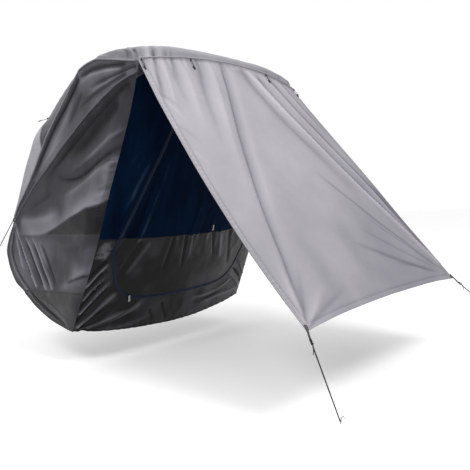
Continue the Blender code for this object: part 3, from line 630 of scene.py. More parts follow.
WALL_FOLDS = [
    Fold([(-0.68, 1.765), (-0.54, 1.71), (-0.37, 1.625), (-0.18, 1.51), (0.04, 1.36), (0.24, 1.21)],
         -0.014, (0.014, 0.050), 0.8, (0.05, 0.3)),
    Fold([(-0.60, 1.66), (-0.42, 1.56), (-0.24, 1.44), (-0.06, 1.34)], -0.016, (0.050, 0.050), 0.75,
         (0.15, 0.4), 0.8),
    Fold([(-0.66, 1.53), (-0.50, 1.445), (-0.36, 1.37), (-0.20, 1.30), (-0.08, 1.265)], 0.012,
         (0.034, 0.016), 0.5, (0.0, 0.5)),
    Fold([(-0.60, 1.42), (-0.40, 1.32), (-0.22, 1.245), (-0.05, 1.235), (0.07, 1.275)], -0.012,
         (0.014, 0.030), 0.95, (0.1, 0.4), 0.4),
    Fold([(-0.58, 1.34), (-0.38, 1.245), (-0.16, 1.15), (0.06, 1.10)], 0.010, (0.024, 0.030), 0.35,
         (0.1, 0.5), 0.6),
    Fold([(0.00, 1.015), (0.22, 0.975), (0.40, 0.965), (0.54, 0.975)], 0.010, (0.030, 0.050), 0.5,
         (0.3, 0.2), 0.7),
    Fold([(0.10, 1.17), (0.26, 1.10), (0.42, 1.05)], -0.007, (0.024, 0.024), 0.4, (0.3, 0.4), 0.6),
    Fold([(0.615, 0.97), (0.595, 0.86), (0.565, 0.74), (0.53, 0.62)], 0.010, (0.009, 0.010), 0.9,
         (0.1, 0.15), 0.12),
    Fold([(0.605, 0.99), (0.58, 0.91), (0.54, 0.81), (0.46, 0.65), (0.365, 0.49)], 0.012,
         (0.010, 0.011), 1.1, (0.1, 0.05), 0.12),
    Fold([(0.485, 0.875), (0.425, 0.79), (0.345, 0.65), (0.245, 0.485)], 0.012, (0.010, 0.011), 1.0,
         (0.3, 0.05), 0.12),
    Fold([(0.405, 0.87), (0.345, 0.79), (0.265, 0.65), (0.17, 0.49)], 0.012, (0.010, 0.012), 0.9,
         (0.35, 0.05), 0.12),
    Fold([(0.32, 0.84), (0.26, 0.72), (0.20, 0.62)], 0.008, (0.012, 0.016), 0.4, (0.3, 0.4)),
    Fold([(0.57, 0.86), (0.52, 0.74), (0.43, 0.58)], -0.010, (0.010, 0.010), 0.75, (0.2, 0.1)),
    Fold([(0.48, 0.84), (0.39, 0.68), (0.30, 0.52)], -0.010, (0.010, 0.010), 0.75, (0.2, 0.1)),
    Fold([(0.39, 0.83), (0.305, 0.67), (0.21, 0.52)], -0.010, (0.010, 0.010), 0.75, (0.2, 0.1)),
    Fold([(0.29, 0.82), (0.22, 0.69), (0.13, 0.52)], -0.008, (0.012, 0.014), 0.55, (0.3, 0.2), 0.4),
    Fold([(-0.30, 0.70), (-0.17, 0.625), (-0.02, 0.545), (0.12, 0.505)], 0.008, (0.030, 0.030),
         0.45, (0.2, 0.3), 0.6),
    Fold([(-0.20, 0.615), (-0.10, 0.585), (0.00, 0.555)], -0.009, (0.008, 0.014), 1.0, (0.2, 0.4),
         0.2),
    Fold([(-0.34, 0.86), (-0.16, 0.80), (0.04, 0.76)], -0.006, (0.024, 0.030), 0.35, (0.2, 0.4), 0.6),
]
SKIRT_FOLDS = [
    Fold([(0.30, 0.425), (0.17, 0.35), (0.035, 0.275)], 0.007, (0.007, 0.009), 0.8, (0.15, 0.1),
         0.12),
    Fold([(0.24, 0.40), (0.14, 0.345), (0.05, 0.29)], 0.006, (0.006, 0.008), 0.6, (0.15, 0.1), 0.12),
    Fold([(0.27, 0.41), (0.155, 0.345), (0.04, 0.282)], -0.006, (0.006, 0.006), 0.6, (0.15, 0.1),
         0.2),
    Fold([(0.37, 0.43), (0.22, 0.34), (0.06, 0.262)], -0.006, (0.008, 0.008), 0.7, (0.2, 0.1)),
]
# The turned hem of the open end: its stitched inner fold, with the hollow beside it
HEM_FOLDS = [
    Fold([(0.595, 0.955), (0.655, 0.87), (0.695, 0.77), (0.675, 0.68), (0.61, 0.575), (0.50, 0.475),
         (0.38, 0.395), (0.25, 0.325), (0.12, 0.275)], 0.004, (0.005, 0.005), 0.75, (0.05, 0.1),
         0.15),
    Fold([(0.575, 0.945), (0.635, 0.865), (0.672, 0.77), (0.652, 0.69), (0.59, 0.59),
         (0.482, 0.492), (0.366, 0.412), (0.24, 0.342), (0.12, 0.292)], -0.005, (0.006, 0.008), 0.8,
         (0.05, 0.1), 0.2),
]

# Ridge of the broad fold across the wall, and the level where its shaded underside ends
LEDGE = [(-0.62, 1.175), (-0.42, 1.09), (-0.29, 1.035), (-0.12, 0.985), (0.04, 0.935),
         (0.20, 0.892), (0.30, 0.876)]
LEDGE_FOOT = 0.872
LEDGE_HEIGHT = 0.042


def ledge(y, height):
    """The broad fold that widens towards the rear, lit above and dark beneath."""
    ridge = np.interp(y, [p[0] for p in LEDGE], [p[1] for p in LEDGE])
    strength = smooth((0.28 - y) / 0.5)
    above = np.maximum(height - ridge, 0.0)
    under = np.clip((height - LEDGE_FOOT) / np.maximum(ridge - LEDGE_FOOT, 0.004), 0.0, 1.0)
    rise = LEDGE_HEIGHT * strength * np.where(height > ridge, np.exp(-above / 0.15), under ** 0.8)
    lit = smooth((height - ridge + 0.012) / 0.024) * np.exp(-above / 0.10)
    lit = lit * smooth((0.62 - y) / 0.25)
    dark = smooth((height - LEDGE_FOOT) / 0.014) * smooth((ridge + 0.004 - height) / 0.02)
    return rise, 0.75 * lit - 1.3 * dark * smooth((0.24 - y) / 0.08)


# Line of the wing's seam, with painted shade on the wall beneath it
SEAM_SHADE = [(-0.735, 1.805)] + WING_SEAM[:-2]


def side_extra(y, height):
    """The broad fold, painted shade under the wing's seam and painted light on the wing, crumples
    beside the mesh painted lighter on their ridges, slack, random mottling, and a lighter band low on
    the wall.
    """
    edge_y = corner(np.minimum(height, LIP_HEIGHT))[1]
    beside = np.exp(-((y - edge_y - 0.022) / 0.026) ** 2)
    beside = beside * smooth((height - 0.88) / 0.12) * smooth((1.45 - height) / 0.2)
    across = (y - edge_y) * 5.0 + height * 24.0
    creased = crinkle(across, (y - edge_y) * 12.0, 31)
    rise, tone = ledge(y, height)
    slack = noise(y * 5.0 + 9.0, height * 5.0, 32) * 0.004
    slack = slack + noise(y * 19.0 + 20.0, height * 17.0, 33) * 0.0016
    broad_tone = 0.20 * noise(y * 8.0 + 9.0, height * 8.0, 34)
    below = np.interp(y, [p[0] for p in SEAM_SHADE], [p[1] for p in SEAM_SHADE]) - height
    under = np.exp(-np.maximum(below, 0.0) / 0.20) * smooth((0.35 - y) / 0.3)
    # Painted shade on the wall under the wing's seam, and painted light on the wing above it
    broad_tone = broad_tone + np.where(below > 0, -0.70 * under, 0.22)
    # Lighter between a height of 0.43 and the broad fold's foot
    broad_tone = broad_tone + 0.12 * smooth((LEDGE_FOOT - height) / 0.06) * smooth((height - 0.43) / 0.05)
    # The strip beside the mesh is painted lighter, most on its crumples' ridges
    return (rise + 0.008 * creased * beside + slack,
            tone + beside * (0.20 + 1.4 * creased) + broad_tone)


def side_keep(y, height):
    """Folds die out at the rear corner's seam."""
    edge_y = corner(np.minimum(height, LIP_HEIGHT))[1]
    return smooth((y - edge_y) / 0.03)


def side_surface(side):
    folds = WING_FOLDS + WALL_FOLDS + SKIRT_FOLDS + HEM_FOLDS
    return Surface(lambda y, height: side_point(side, y, height), side, folds, side_extra, side_keep)


sides = {"left": side_surface(-1), "right": side_surface(1)}


# Materials

def linear(text):
    """Linear colour from an sRGB hex value."""
    values = [int(text[i:i + 2], 16) / 255 for i in (1, 3, 5)]
    return tuple(v / 12.92 if v <= 0.04045 else ((v + 0.055) / 1.055) ** 2.4 for v in values) + (1.0,)


def plug(tree, node, links):
    """Set a node's inputs, by name or number: to a value, a socket or a node's first output."""
    for key, value in links.items():
        if isinstance(value, bpy.types.Node):
            value = value.outputs[0]
        if isinstance(value, bpy.types.NodeSocket):
            tree.links.new(value, node.inputs[key])
        else:
            node.inputs[key].default_value = value


def add(tree, kind, links=None, colours=(), **settings):
    """Add a node with its own settings and its links, and colours spread evenly on a ramp."""
    node = tree.nodes.new(kind)
    for key, value in settings.items():
        setattr(node, key, value)
    if colours:
        elements = node.color_ramp.elements
        elements[0].color = linear(colours[0])
        elements[1].color = linear(colours[-1])
        for i, colour in enumerate(colours[1:-1], 1):
            elements.new(i / (len(colours) - 1)).color = linear(colour)
    plug(tree, node, links or {})
    return node


def start_material(name):
    """A material with its node tree and its Principled shader."""
    material = bpy.data.materials.new(name)
    material.use_nodes = True
    return material, material.node_tree, material.node_tree.nodes["Principled BSDF"]


def bands(period):
    """Scale that gives one band to each period in metres, of a wave's 20 / (2 pi) to a unit."""
    return 2 * pi / 20 / period


# Plain weave: the real cloth has a yarn every 0.35 mm, drawn here every 1.4 mm
YARN = 0.0014
# Braid: its strands cross every 2 mm, at this slant
STRAND = 0.002
STRAND_SLANT = radians(35)
# Netting: the real holes are about 1 mm wide, drawn every 3 mm
NET_HOLE = 0.003
# Zip: the real coil turns about every 1.5 mm, drawn every 3 mm; webbing has its real ribs
ZIP_PITCH = 0.003
WEB_RIB = 0.0015


def woven(name, colours, roughness, sheen, specular):
    """Coated polyester: plain weave under a thin coating, painted paler on ridges and darker in folds
    as light and shade, with random mottling.
    """
    material, tree, shader = start_material(name)
    uv = add(tree, "ShaderNodeUVMap", uv_map="cloth")
    place = add(tree, "ShaderNodeTexCoord").outputs["Object"]
    painted_light_and_mottle = add(tree, "ShaderNodeAttribute", attribute_name="painted_light_and_mottle").outputs["Fac"]
    broad_tone = add(tree, "ShaderNodeTexNoise", {"Vector": place, "Scale": 4.0, "Detail": 3.0})
    fine = add(tree, "ShaderNodeTexNoise", {"Vector": place, "Scale": 110.0, "Detail": 4.0,
                                            "Roughness": 0.6})
    creased = add(tree, "ShaderNodeTexNoise", {"Vector": place, "Scale": 14.0, "Detail": 5.0,
                                               "Roughness": 0.55, "Distortion": 0.8})
    half = add(tree, "ShaderNodeMath", {0: painted_light_and_mottle, 1: 0.5, 2: 0.38}, operation="MULTIPLY_ADD")
    full = add(tree, "ShaderNodeMath", {0: broad_tone, 1: 0.24, 2: half}, operation="MULTIPLY_ADD")
    gloss = add(tree, "ShaderNodeMapRange", {"Value": fine, "To Min": roughness - 0.06,
                                             "To Max": roughness + 0.06})
    yarns = [add(tree, "ShaderNodeTexWave", {"Vector": uv, "Scale": bands(YARN)},
                 bands_direction=way).outputs["Fac"] for way in "XY"]
    cross = add(tree, "ShaderNodeMath", {0: yarns[0], 1: yarns[1]}, operation="MULTIPLY")
    normal = add(tree, "ShaderNodeBump", {"Height": cross, "Strength": 0.12,
                                          "Distance": YARN / 4})
    normal = add(tree, "ShaderNodeBump", {"Height": creased, "Strength": 0.35,
                                          "Distance": 0.006, "Normal": normal})
    normal = add(tree, "ShaderNodeBump", {"Height": fine, "Strength": 0.12,
                                          "Distance": 0.002, "Normal": normal})
    plug(tree, shader, {"Base Color": add(tree, "ShaderNodeValToRGB", {0: full}, colours),
                        "Roughness": gloss, "Normal": normal, "Specular IOR Level": specular,
                        "Sheen Weight": sheen, "Sheen Roughness": 0.4})
    return material


def netting(name, colours):
    """Knitted insect mesh: matt navy yarn, almost opaque, with its holes as a fine relief, painted
    paler on fold ridges and darker in hollows as light and shade, with long paler streaks.
    """
    material, tree, shader = start_material(name)
    uv = add(tree, "ShaderNodeUVMap", uv_map="cloth")
    place = add(tree, "ShaderNodeTexCoord").outputs["Object"]
    painted_light_and_mottle = add(tree, "ShaderNodeAttribute", attribute_name="painted_light_and_mottle").outputs["Fac"]
    long_way = add(tree, "ShaderNodeMapping", {"Vector": place, "Scale": (9.0, 3.0, 2.0),
                                               "Rotation": (0.0, 0.45, 0.0)})
    streaks = add(tree, "ShaderNodeTexNoise", {"Vector": long_way, "Scale": 1.0, "Detail": 4.0,
                                               "Roughness": 0.6})
    part = add(tree, "ShaderNodeMapRange", {"Value": streaks, "From Min": 0.30, "From Max": 0.75,
                                            "To Max": 0.55})
    full = add(tree, "ShaderNodeMath", {0: painted_light_and_mottle, 1: 0.55, 2: part}, operation="MULTIPLY_ADD")
    holes = add(tree, "ShaderNodeTexVoronoi", {"Vector": uv, "Scale": 1 / NET_HOLE})
    normal = add(tree, "ShaderNodeBump", {"Height": holes, "Strength": 0.15, "Distance": 0.0006})
    plug(tree, shader, {"Base Color": add(tree, "ShaderNodeValToRGB", {0: full}, colours),
                        "Roughness": 0.8, "Normal": normal, "Specular IOR Level": 0.08,
                        "Alpha": 0.995})
    return material


def ribbed(name, colour, period, relief, roughness=0.65):
    """Woven tape, or a moulded coil: ribs across it, painted lighter on their crowns and darker
    between them as light and shade.
    """
    material, tree, shader = start_material(name)
    uv = add(tree, "ShaderNodeUVMap", uv_map="cloth")
    ribs = add(tree, "ShaderNodeTexWave", {"Vector": uv, "Scale": bands(period)},
               bands_direction="Y").outputs["Fac"]
    tone = add(tree, "ShaderNodeMapRange", {"Value": ribs, "To Min": 0.75, "To Max": 1.2})
    scaled = add(tree, "ShaderNodeVectorMath", {0: linear(colour)[:3], "Scale": tone},
                 operation="SCALE")
    normal = add(tree, "ShaderNodeBump", {"Height": ribs, "Strength": 0.4, "Distance": relief})
    plug(tree, shader, {"Base Color": scaled, "Roughness": roughness, "Normal": normal,
                        "Specular IOR Level": 0.25})
    return material


def braid(name, colour):
    """Braided cord: two sets of strands that cross along it, lit on their crowns."""
    material, tree, shader = start_material(name)
    uv = add(tree, "ShaderNodeUVMap", uv_map="cloth")
    strands = []
    for turn in (STRAND_SLANT, -STRAND_SLANT):
        turned = add(tree, "ShaderNodeMapping", {"Vector": uv, "Rotation": (0.0, 0.0, turn)})
        strands.append(add(tree, "ShaderNodeTexWave", {"Vector": turned, "Scale": bands(STRAND)},
                           bands_direction="X").outputs["Fac"])
    both = add(tree, "ShaderNodeMath", {0: strands[0], 1: strands[1]}, operation="MAXIMUM")
    tone = add(tree, "ShaderNodeMapRange", {"Value": both, "To Min": 0.7, "To Max": 1.3})
    scaled = add(tree, "ShaderNodeVectorMath", {0: linear(colour)[:3], "Scale": tone},
                 operation="SCALE")
    normal = add(tree, "ShaderNodeBump", {"Height": both, "Strength": 0.5, "Distance": 0.0005})
    plug(tree, shader, {"Base Color": scaled, "Roughness": 0.7, "Normal": normal,
                        "Specular IOR Level": 0.2})
    return material


def grained(name, colours, roughness, grain, stretch=(1.0, 1.0, 1.0), metallic=0.0):
    """Fine grain of a size in metres: moulded plastic, drawn wire or spun thread."""
    material, tree, shader = start_material(name)
    place = add(tree, "ShaderNodeTexCoord").outputs["Object"]
    long_way = add(tree, "ShaderNodeMapping", {"Vector": place, "Scale": stretch})
    specks = add(tree, "ShaderNodeTexNoise", {"Vector": long_way, "Scale": 1 / grain,
                                              "Detail": 3.0})
    gloss = add(tree, "ShaderNodeMapRange", {"Value": specks, "To Min": roughness - 0.08,
                                             "To Max": roughness + 0.08})
    normal = add(tree, "ShaderNodeBump", {"Height": specks, "Strength": 0.15,
                                          "Distance": grain / 4})
    plug(tree, shader, {"Base Color": add(tree, "ShaderNodeValToRGB", {0: specks}, colours),
                        "Roughness": gloss, "Normal": normal, "Metallic": metallic})
    return material


# Hood: satin grey with no mirror gloss, as a silver coating on cloth has
SILVER_CLOTH = woven("silver-coated polyester", ("#45464b", "#94939a", "#c4c3c9"), 0.50, 0.03, 0.4)
# Awning: the same coating, its folds less dark because light comes through them
AWNING_CLOTH = woven("silver-coated awning polyester", ("#64626d", "#a19fa5", "#c2c0c6"),
                     0.50, 0.03, 0.4)
# Sides: charcoal that turns grey where its coating faces the light
CHARCOAL_CLOTH = woven("charcoal coated polyester", ("#0d0d12", "#47464d", "#a09fa9"),
                       0.45, 0.04, 0.2)
# Its seams: doubled and raised, in a copy of the charcoal painted a step paler as the light on them
SEAM_CLOTH = woven("charcoal coated polyester seam", ("#2b2b33", "#6b6a74", "#9c9ba6"),
                   0.45, 0.04, 0.2)
# Side skirts: a neutral near-black, painted soft grey on its ridges as light
SKIRT_CLOTH = woven("dark coated polyester", ("#141416", "#39393b", "#7e7d83"), 0.42, 0.03, 0.25)
# Door panel, jambs and rear skirt: black, painted grey as light only along the sharpest ridges
BLACK_CLOTH = woven("black coated polyester", ("#020304", "#101113", "#85848b"), 0.36, 0.02, 0.2)
# Mesh: deep flat navy, painted paler on fold ridges and darker in hollows, with long paler streaks
MESH_CLOTH = netting("navy insect mesh", ("#00102a", "#082a4e", "#5a6f88"))
# Zip: dull woven tape, and a moulded coil with small glints
ZIP_TAPE = ribbed("navy zip tape", "#1a2843", WEB_RIB, 0.0003)
ZIP_COIL = ribbed("nylon zip coil", "#10151f", ZIP_PITCH, 0.0012, 0.35)
# Moulded pulls: clean white with a soft gloss
PULL_PLASTIC = grained("white acetal", ("#efeee8", "#fbfaf6"), 0.35, 0.0008)
# Woven webbing: matt, with fine ribs across it
STRAP_TAPE = ribbed("black webbing", "#1b1b1c", WEB_RIB, 0.0004)
TAB_TAPE = ribbed("dark grey webbing", "#4a4a4d", WEB_RIB, 0.0004)
# Braided cords: near black, broken up by their strands
CORD_BRAID = braid("black braided cord", "#161617")
# Moulded fittings: black with soft highlights
TOGGLE_PLASTIC = grained("black nylon", ("#101010", "#1c1c1c"), 0.42, 0.0008)
# Drawn wire: pale grey metal, streaked along it
ZINC_STEEL = grained("zinc-plated steel", ("#9fa09e", "#c8c9c8"), 0.36, 0.02, (10.0, 10.0, 1.0), 1.0)
# Spun threads: dull, each a little paler or darker than its cloth
LIGHT_THREAD = grained("light grey thread", ("#a3a2aa", "#b9b8c0"), 0.6, 0.001)
GREY_THREAD = grained("grey thread", ("#6e6d75", "#85848c"), 0.6, 0.001)
DARK_THREAD = grained("charcoal thread", ("#37363d", "#55545c"), 0.6, 0.001)


# Meshes

# Least share of its rectangle that a sheet's area may be
LEAST_FILL = 0.31


def smoothed(data, degrees):
    """Smooth shading, with edges sharper than an angle left sharp."""
    data.shade_smooth()
    data.set_sharp_from_angle(angle=radians(degrees))


def finish(obj, material, node, slot):
    """Give a piece its material and its place in the part."""
    obj.data.materials.clear()
    obj.data.materials.append(material)
    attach(obj, "root")
    for name in [node] if isinstance(node, str) else node or []:
        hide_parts(name)
    return obj


def mesh_object(name, points, faces, uvs, tones=None):
    """A closed mesh with its faces outwards; uvs and tones have one value for each point."""
    data = bpy.data.meshes.new(name)
    data.from_pydata([tuple(p) for p in points], [], faces)
    build = bmesh.new()
    build.from_mesh(data)
    if build.calc_volume(signed=True) < 0:
        bmesh.ops.reverse_faces(build, faces=build.faces)
    layer = build.loops.layers.uv.new("cloth")
    for face in build.faces:
        for loop in face.loops:
            loop[layer].uv = uvs[loop.vert.index]
    build.to_mesh(data)
    build.free()
    # Tones are kept as an attribute: painted light and shade on the cloth, with random mottling
    if tones is not None:
        painted_light_and_mottle = data.attributes.new("painted_light_and_mottle", "FLOAT", "POINT")
        painted_light_and_mottle.data.foreach_set("value", np.clip(tones, -1.0, 1.0))
    smoothed(data, 50)
    obj = bpy.data.objects.new(name, data)
    bpy.context.scene.collection.objects.link(obj)
    return obj


def grid_faces(rows, columns, offset=0):
    i, j = np.meshgrid(np.arange(rows - 1), np.arange(columns - 1), indexing="ij")
    k = (i * columns + j + offset).ravel()
    return np.stack([k, k + 1, k + columns + 1, k + columns], axis=1)


def shell(name, outer, inner, size, tones=None):
    """A closed thin shell between two grids of points; size is its real width and length."""
    rows, columns = outer.shape[:2]
    count = rows * columns
    rim = list(range(columns - 1))
    rim += [i * columns + columns - 1 for i in range(rows - 1)]
    rim += [(rows - 1) * columns + j for j in range(columns - 1, 0, -1)]
    rim += [i * columns for i in range(rows - 1, 0, -1)]
    faces = grid_faces(rows, columns).tolist()
    faces += grid_faces(rows, columns, count)[:, ::-1].tolist()
    faces += [(b, a, a + count, b + count) for a, b in zip(rim, rim[1:] + rim[:1])]
    u, v = np.meshgrid(np.linspace(0, size[0], columns), np.linspace(0, size[1], rows))
    uv = np.stack([u.ravel(), v.ravel()], axis=1)
    points = np.concatenate([outer.reshape(-1, 3), inner.reshape(-1, 3)])
    if tones is not None:
        tones = np.concatenate([tones.ravel(), tones.ravel()])
    return mesh_object(name, points, faces, np.concatenate([uv, uv]), tones)


def spans(points):
    """Mean width and length of a grid of points."""
    width = np.linalg.norm(np.diff(points, axis=1), axis=-1).sum(axis=1).mean()
    length = np.linalg.norm(np.diff(points, axis=0), axis=-1).sum(axis=0).mean()
    return width, length


def flat_area(points):
    """Area of a grid of points, as the cloth was cut."""
    across = points[:-1, 1:] - points[:-1, :-1]
    down = points[1:, :-1] - points[:-1, :-1]
    return float(np.linalg.norm(np.cross(across, down), axis=-1).sum())


def layers(name, surface, a, b, material, above, below, node, slot):
    """A shell that follows a folded surface, from above it to below it."""
    rest, normals, rise, tone = surface.relief(a, b)
    outer = (rest + normals * (rise + above)[:, None]).reshape(a.shape + (3,))
    inner = (rest + normals * (rise - below)[:, None]).reshape(a.shape + (3,))
    rest = rest.reshape(a.shape + (3,))
    obj = shell(name, outer, inner, spans(rest), tone)
    return finish(obj, material, node, slot), rest


def cloth(name, surface, a, b, material, slot, node, thickness=CLOTH):
    """A sheet of cloth over a grid of places on a surface."""
    obj, rest = layers(name, surface, a, b, material, 0.0, thickness, node, slot)
    width, length = spans(rest)
    area = min(max(flat_area(rest), LEAST_FILL * width * length), width * length)
    return obj


def band(name, path, normals, width, rise, sink, material, node, slot):
    """A strip along a path, crowned on its outer side, such as a felled seam or a tape."""
    along = unit(np.gradient(path, axis=0))
    out = unit(normals - along * (normals * along).sum(axis=1, keepdims=True))
    across = np.cross(along, out)
    places = np.array([-0.5, -0.4, -0.2, 0.0, 0.2, 0.4, 0.5])
    crown = np.array([0.25, 0.75, 0.97, 1.0, 0.97, 0.75, 0.25])
    flat = path[:, None] + across[:, None] * (places * width)[None, :, None]
    outer = flat + out[:, None] * (crown * rise)[None, :, None]
    inner = flat - out[:, None] * sink
    length = np.linalg.norm(np.diff(path, axis=0), axis=1).sum()
    return finish(shell(name, outer, inner, (width, length)), material, node, slot)


def distances(path):
    """How far along a path each of its points lies."""
    return np.concatenate([[0.0], np.cumsum(np.linalg.norm(np.diff(path, axis=0), axis=1))])


def rings(name, path, radii, material, sides, node, slot):
    """A round tube along a path, closed at both ends."""
    path = np.asarray(path, float)
    along = unit(np.gradient(path, axis=0))
    first = np.array([0.0, 0.0, 1.0]) if abs(along[0][2]) < 0.9 else np.array([1.0, 0.0, 0.0])
    turn = np.linspace(0.0, 2 * pi, sides, endpoint=False)
    across = unit(np.cross(along[0], first))
    points = []
    for place, heading, radius in zip(path, along, np.broadcast_to(radii, len(path))):
        across = unit(across - heading * (across @ heading))
        up = np.cross(heading, across)
        points.append(place + radius * (np.cos(turn)[:, None] * across + np.sin(turn)[:, None] * up))
    count = len(path)
    faces = []
    for i in range(count - 1):
        for j in range(sides):
            k = (j + 1) % sides
            faces.append((i * sides + j, i * sides + k, (i + 1) * sides + k, (i + 1) * sides + j))
    faces.append(tuple(range(sides))[::-1])
    faces.append(tuple((count - 1) * sides + j for j in range(sides)))
    run = distances(path)
    girth = 2 * pi * float(np.max(radii))
    uvs = [(j / sides * girth, run[i]) for i in range(count) for j in range(sides)]
    return finish(mesh_object(name, np.concatenate(points), faces, uvs), material, node, slot)


STITCH_PITCH = 0.0065
STITCH_SIZE = (0.0045, 0.0014, 0.0008)


def stitches(name, path, normals, material, slot):
    """A row of lockstitches along a path; the real 3 mm stitch is drawn twice as long."""
    run = distances(path)
    places = np.arange(STITCH_PITCH / 2, run[-1], STITCH_PITCH)
    centres = np.stack([np.interp(places, run, path[:, i]) for i in range(3)], axis=1)
    outs = unit(np.stack([np.interp(places, run, normals[:, i]) for i in range(3)], axis=1))
    heading = unit(np.gradient(centres, axis=0))
    across = np.cross(heading, outs)
    corners = np.array([(x, y, z) for z in (0.0, 1.0) for y in (-1, 1) for x in (-1, 1)], float)
    corners[corners[:, 2] == 1.0, :2] *= 0.7
    long, wide, high = STITCH_SIZE
    points = (centres[:, None] + heading[:, None] * (corners[:, 0] * long / 2)[None, :, None]
              + across[:, None] * (corners[:, 1] * wide / 2)[None, :, None]
              + outs[:, None] * (corners[:, 2] * high)[None, :, None])
    block = np.array([(0, 2, 3, 1), (4, 5, 7, 6), (0, 1, 5, 4), (2, 6, 7, 3), (0, 4, 6, 2),
                      (1, 3, 7, 5)])
    faces = (block[None] + 8 * np.arange(len(centres))[:, None, None]).reshape(-1, 4)
    points = points.reshape(-1, 3)
    return finish(mesh_object(name, points, faces.tolist(), points[:, :2]), material, None, slot)


# Camera, light and floor

def camera():
    """The photo's camera."""
    yaw, pitch, roll = radians(CAMERA_YAW), radians(CAMERA_PITCH), radians(CAMERA_ROLL)
    forward = Vector((sin(yaw) * cos(pitch), cos(yaw) * cos(pitch), sin(pitch)))
    level = Vector((cos(yaw), -sin(yaw), 0.0))
    over = level.cross(forward)
    right = level * cos(roll) + over * sin(roll)
    up = over * cos(roll) - level * sin(roll)
    data = bpy.data.cameras.new("camera")
    data.sensor_width = SENSOR
    data.lens = CAMERA_FOCAL / IMAGE_SIZE * SENSOR
    obj = bpy.data.objects.new("camera", data)
    turn = Matrix((right, up, -forward)).transposed()
    obj.matrix_world = Matrix.Translation(CAMERA_PLACE) @ turn.to_4x4()
    bpy.context.scene.collection.objects.link(obj)
    bpy.context.scene.camera = obj


def area_light(name, place, aim, size, power):
    """A round lamp that shines from a place to its aim."""
    data = bpy.data.lights.new(name, "AREA")
    data.shape = "DISK"
    data.size = size
    data.energy = power
    obj = bpy.data.objects.new(name, data)
    obj.location = place
    obj.rotation_euler = (Vector(aim) - Vector(place)).to_track_quat("-Z", "Y").to_euler()
    bpy.context.scene.collection.objects.link(obj)


def studio():
    """Soft light from above, a white surround and a plain pale floor."""
    world = bpy.data.worlds.new("surround")
    bpy.context.scene.world = world
    world.use_nodes = True
    tree = world.node_tree
    tree.nodes.clear()
    way = add(tree, "ShaderNodeTexCoord").outputs["Generated"]
    up = add(tree, "ShaderNodeSeparateXYZ", {0: way})
    sky = add(tree, "ShaderNodeMapRange", {"Value": up.outputs["Z"], "From Min": -0.3,
                                           "From Max": 0.9, "To Min": 0.17, "To Max": 0.95})
    white = (1.0, 1.0, 1.0, 1.0)
    light = add(tree, "ShaderNodeBackground", {"Color": white, "Strength": sky})
    seen = add(tree, "ShaderNodeBackground", {"Color": white, "Strength": 1.0})
    ray = add(tree, "ShaderNodeLightPath").outputs["Is Camera Ray"]
    both = add(tree, "ShaderNodeMixShader", {0: ray, 1: light, 2: seen})
    add(tree, "ShaderNodeOutputWorld", {"Surface": both})
    area_light("front panel", (-0.6, -4.2, 3.6), (0.0, -0.4, -1.0), 2.6, 175)
    area_light("left panel", (-4.6, -1.0, 3.4), (0.0, 0.2, -0.9), 2.2, 125)
    bpy.ops.mesh.primitive_plane_add(size=60.0, location=(0.0, 0.0, -SEAT_HEIGHT))
    floor = bpy.context.object
    floor.name = "floor"
    floor.visible_diffuse = False
    material, tree, shader = start_material("pale floor")
    plug(tree, shader, {"Base Color": linear("#fafafa"), "Roughness": 0.9,
                        "Emission Color": white, "Emission Strength": 0.22})
    floor.data.materials.append(material)
    bpy.ops.object.select_all(action="DESELECT")
    bpy.context.scene.view_settings.view_transform = "Standard"


camera()
studio()


# Awning

def line(surface, a, b, lift):
    """A path on a folded surface, lifted off it, with its directions outwards."""
    return surface.points(a, b, lift), surface.facing(a, b)


def awning_pieces():
    """The sheet, its hems with their stitching, and the tape where it meets the hood's band."""
    lap = -AWNING_LAP / AWNING_LENGTH
    down = np.concatenate([np.linspace(lap, 0.02, 14), np.linspace(0.02, 1.0, 150)[1:]])
    v, u = np.meshgrid(down, np.linspace(-1.0, 1.0, 190), indexing="ij")
    cloth("awning_cloth", awning, u, v, AWNING_CLOTH, "awning_cloth",
          "awning_sheet")
    edge = 1 - AWNING_HEM / LIP_HALF
    foot = 1 - AWNING_HEM / AWNING_LENGTH
    runs = {"left": (np.linspace(-1.0, -edge, 7), down),
            "right": (np.linspace(edge, 1.0, 7), down),
            "front": (np.linspace(-1.0, 1.0, 190), np.linspace(foot, 1.0, 7))}
    for word, (us, vs) in runs.items():
        v, u = np.meshgrid(vs, us, indexing="ij")
        layers(f"hem_strip_{word}", awning, u, v, AWNING_CLOTH, HEM_FOLD, CLOTH + HEM_FOLD,
               f"awning_hem_{word}", "awning_cloth")
    fine = np.linspace(0.01, 0.985, 300)
    for side, word in SIDES:
        for k, inset in enumerate((0.003, 0.034)):
            path, out = line(awning, side * (edge + inset), fine, HEM_FOLD)
            stitches(f"hem_stitches_{word}_{k + 1}", path, out, GREY_THREAD, "awning_cloth")
    across = np.linspace(-0.95, 0.95, 300)
    path, out = line(awning, across, foot + 0.002, HEM_FOLD)
    stitches("hem_stitches_front", path, out, GREY_THREAD, "awning_cloth")
    across = np.linspace(-1.0, 1.0, 300)
    path, out = line(awning, across, lap + 0.0015, 0.0)
    band("lip_tape", path, out, 0.008, 0.0022, 0.0022, SILVER_CLOTH, "awning_seam_tape",
         "silver_cloth")
    path, out = line(awning, across, lap + 0.0058, 0.0)
    stitches("lip_stitches", path, out, GREY_THREAD, "awning_cloth")


awning_pieces()


# Rear wall

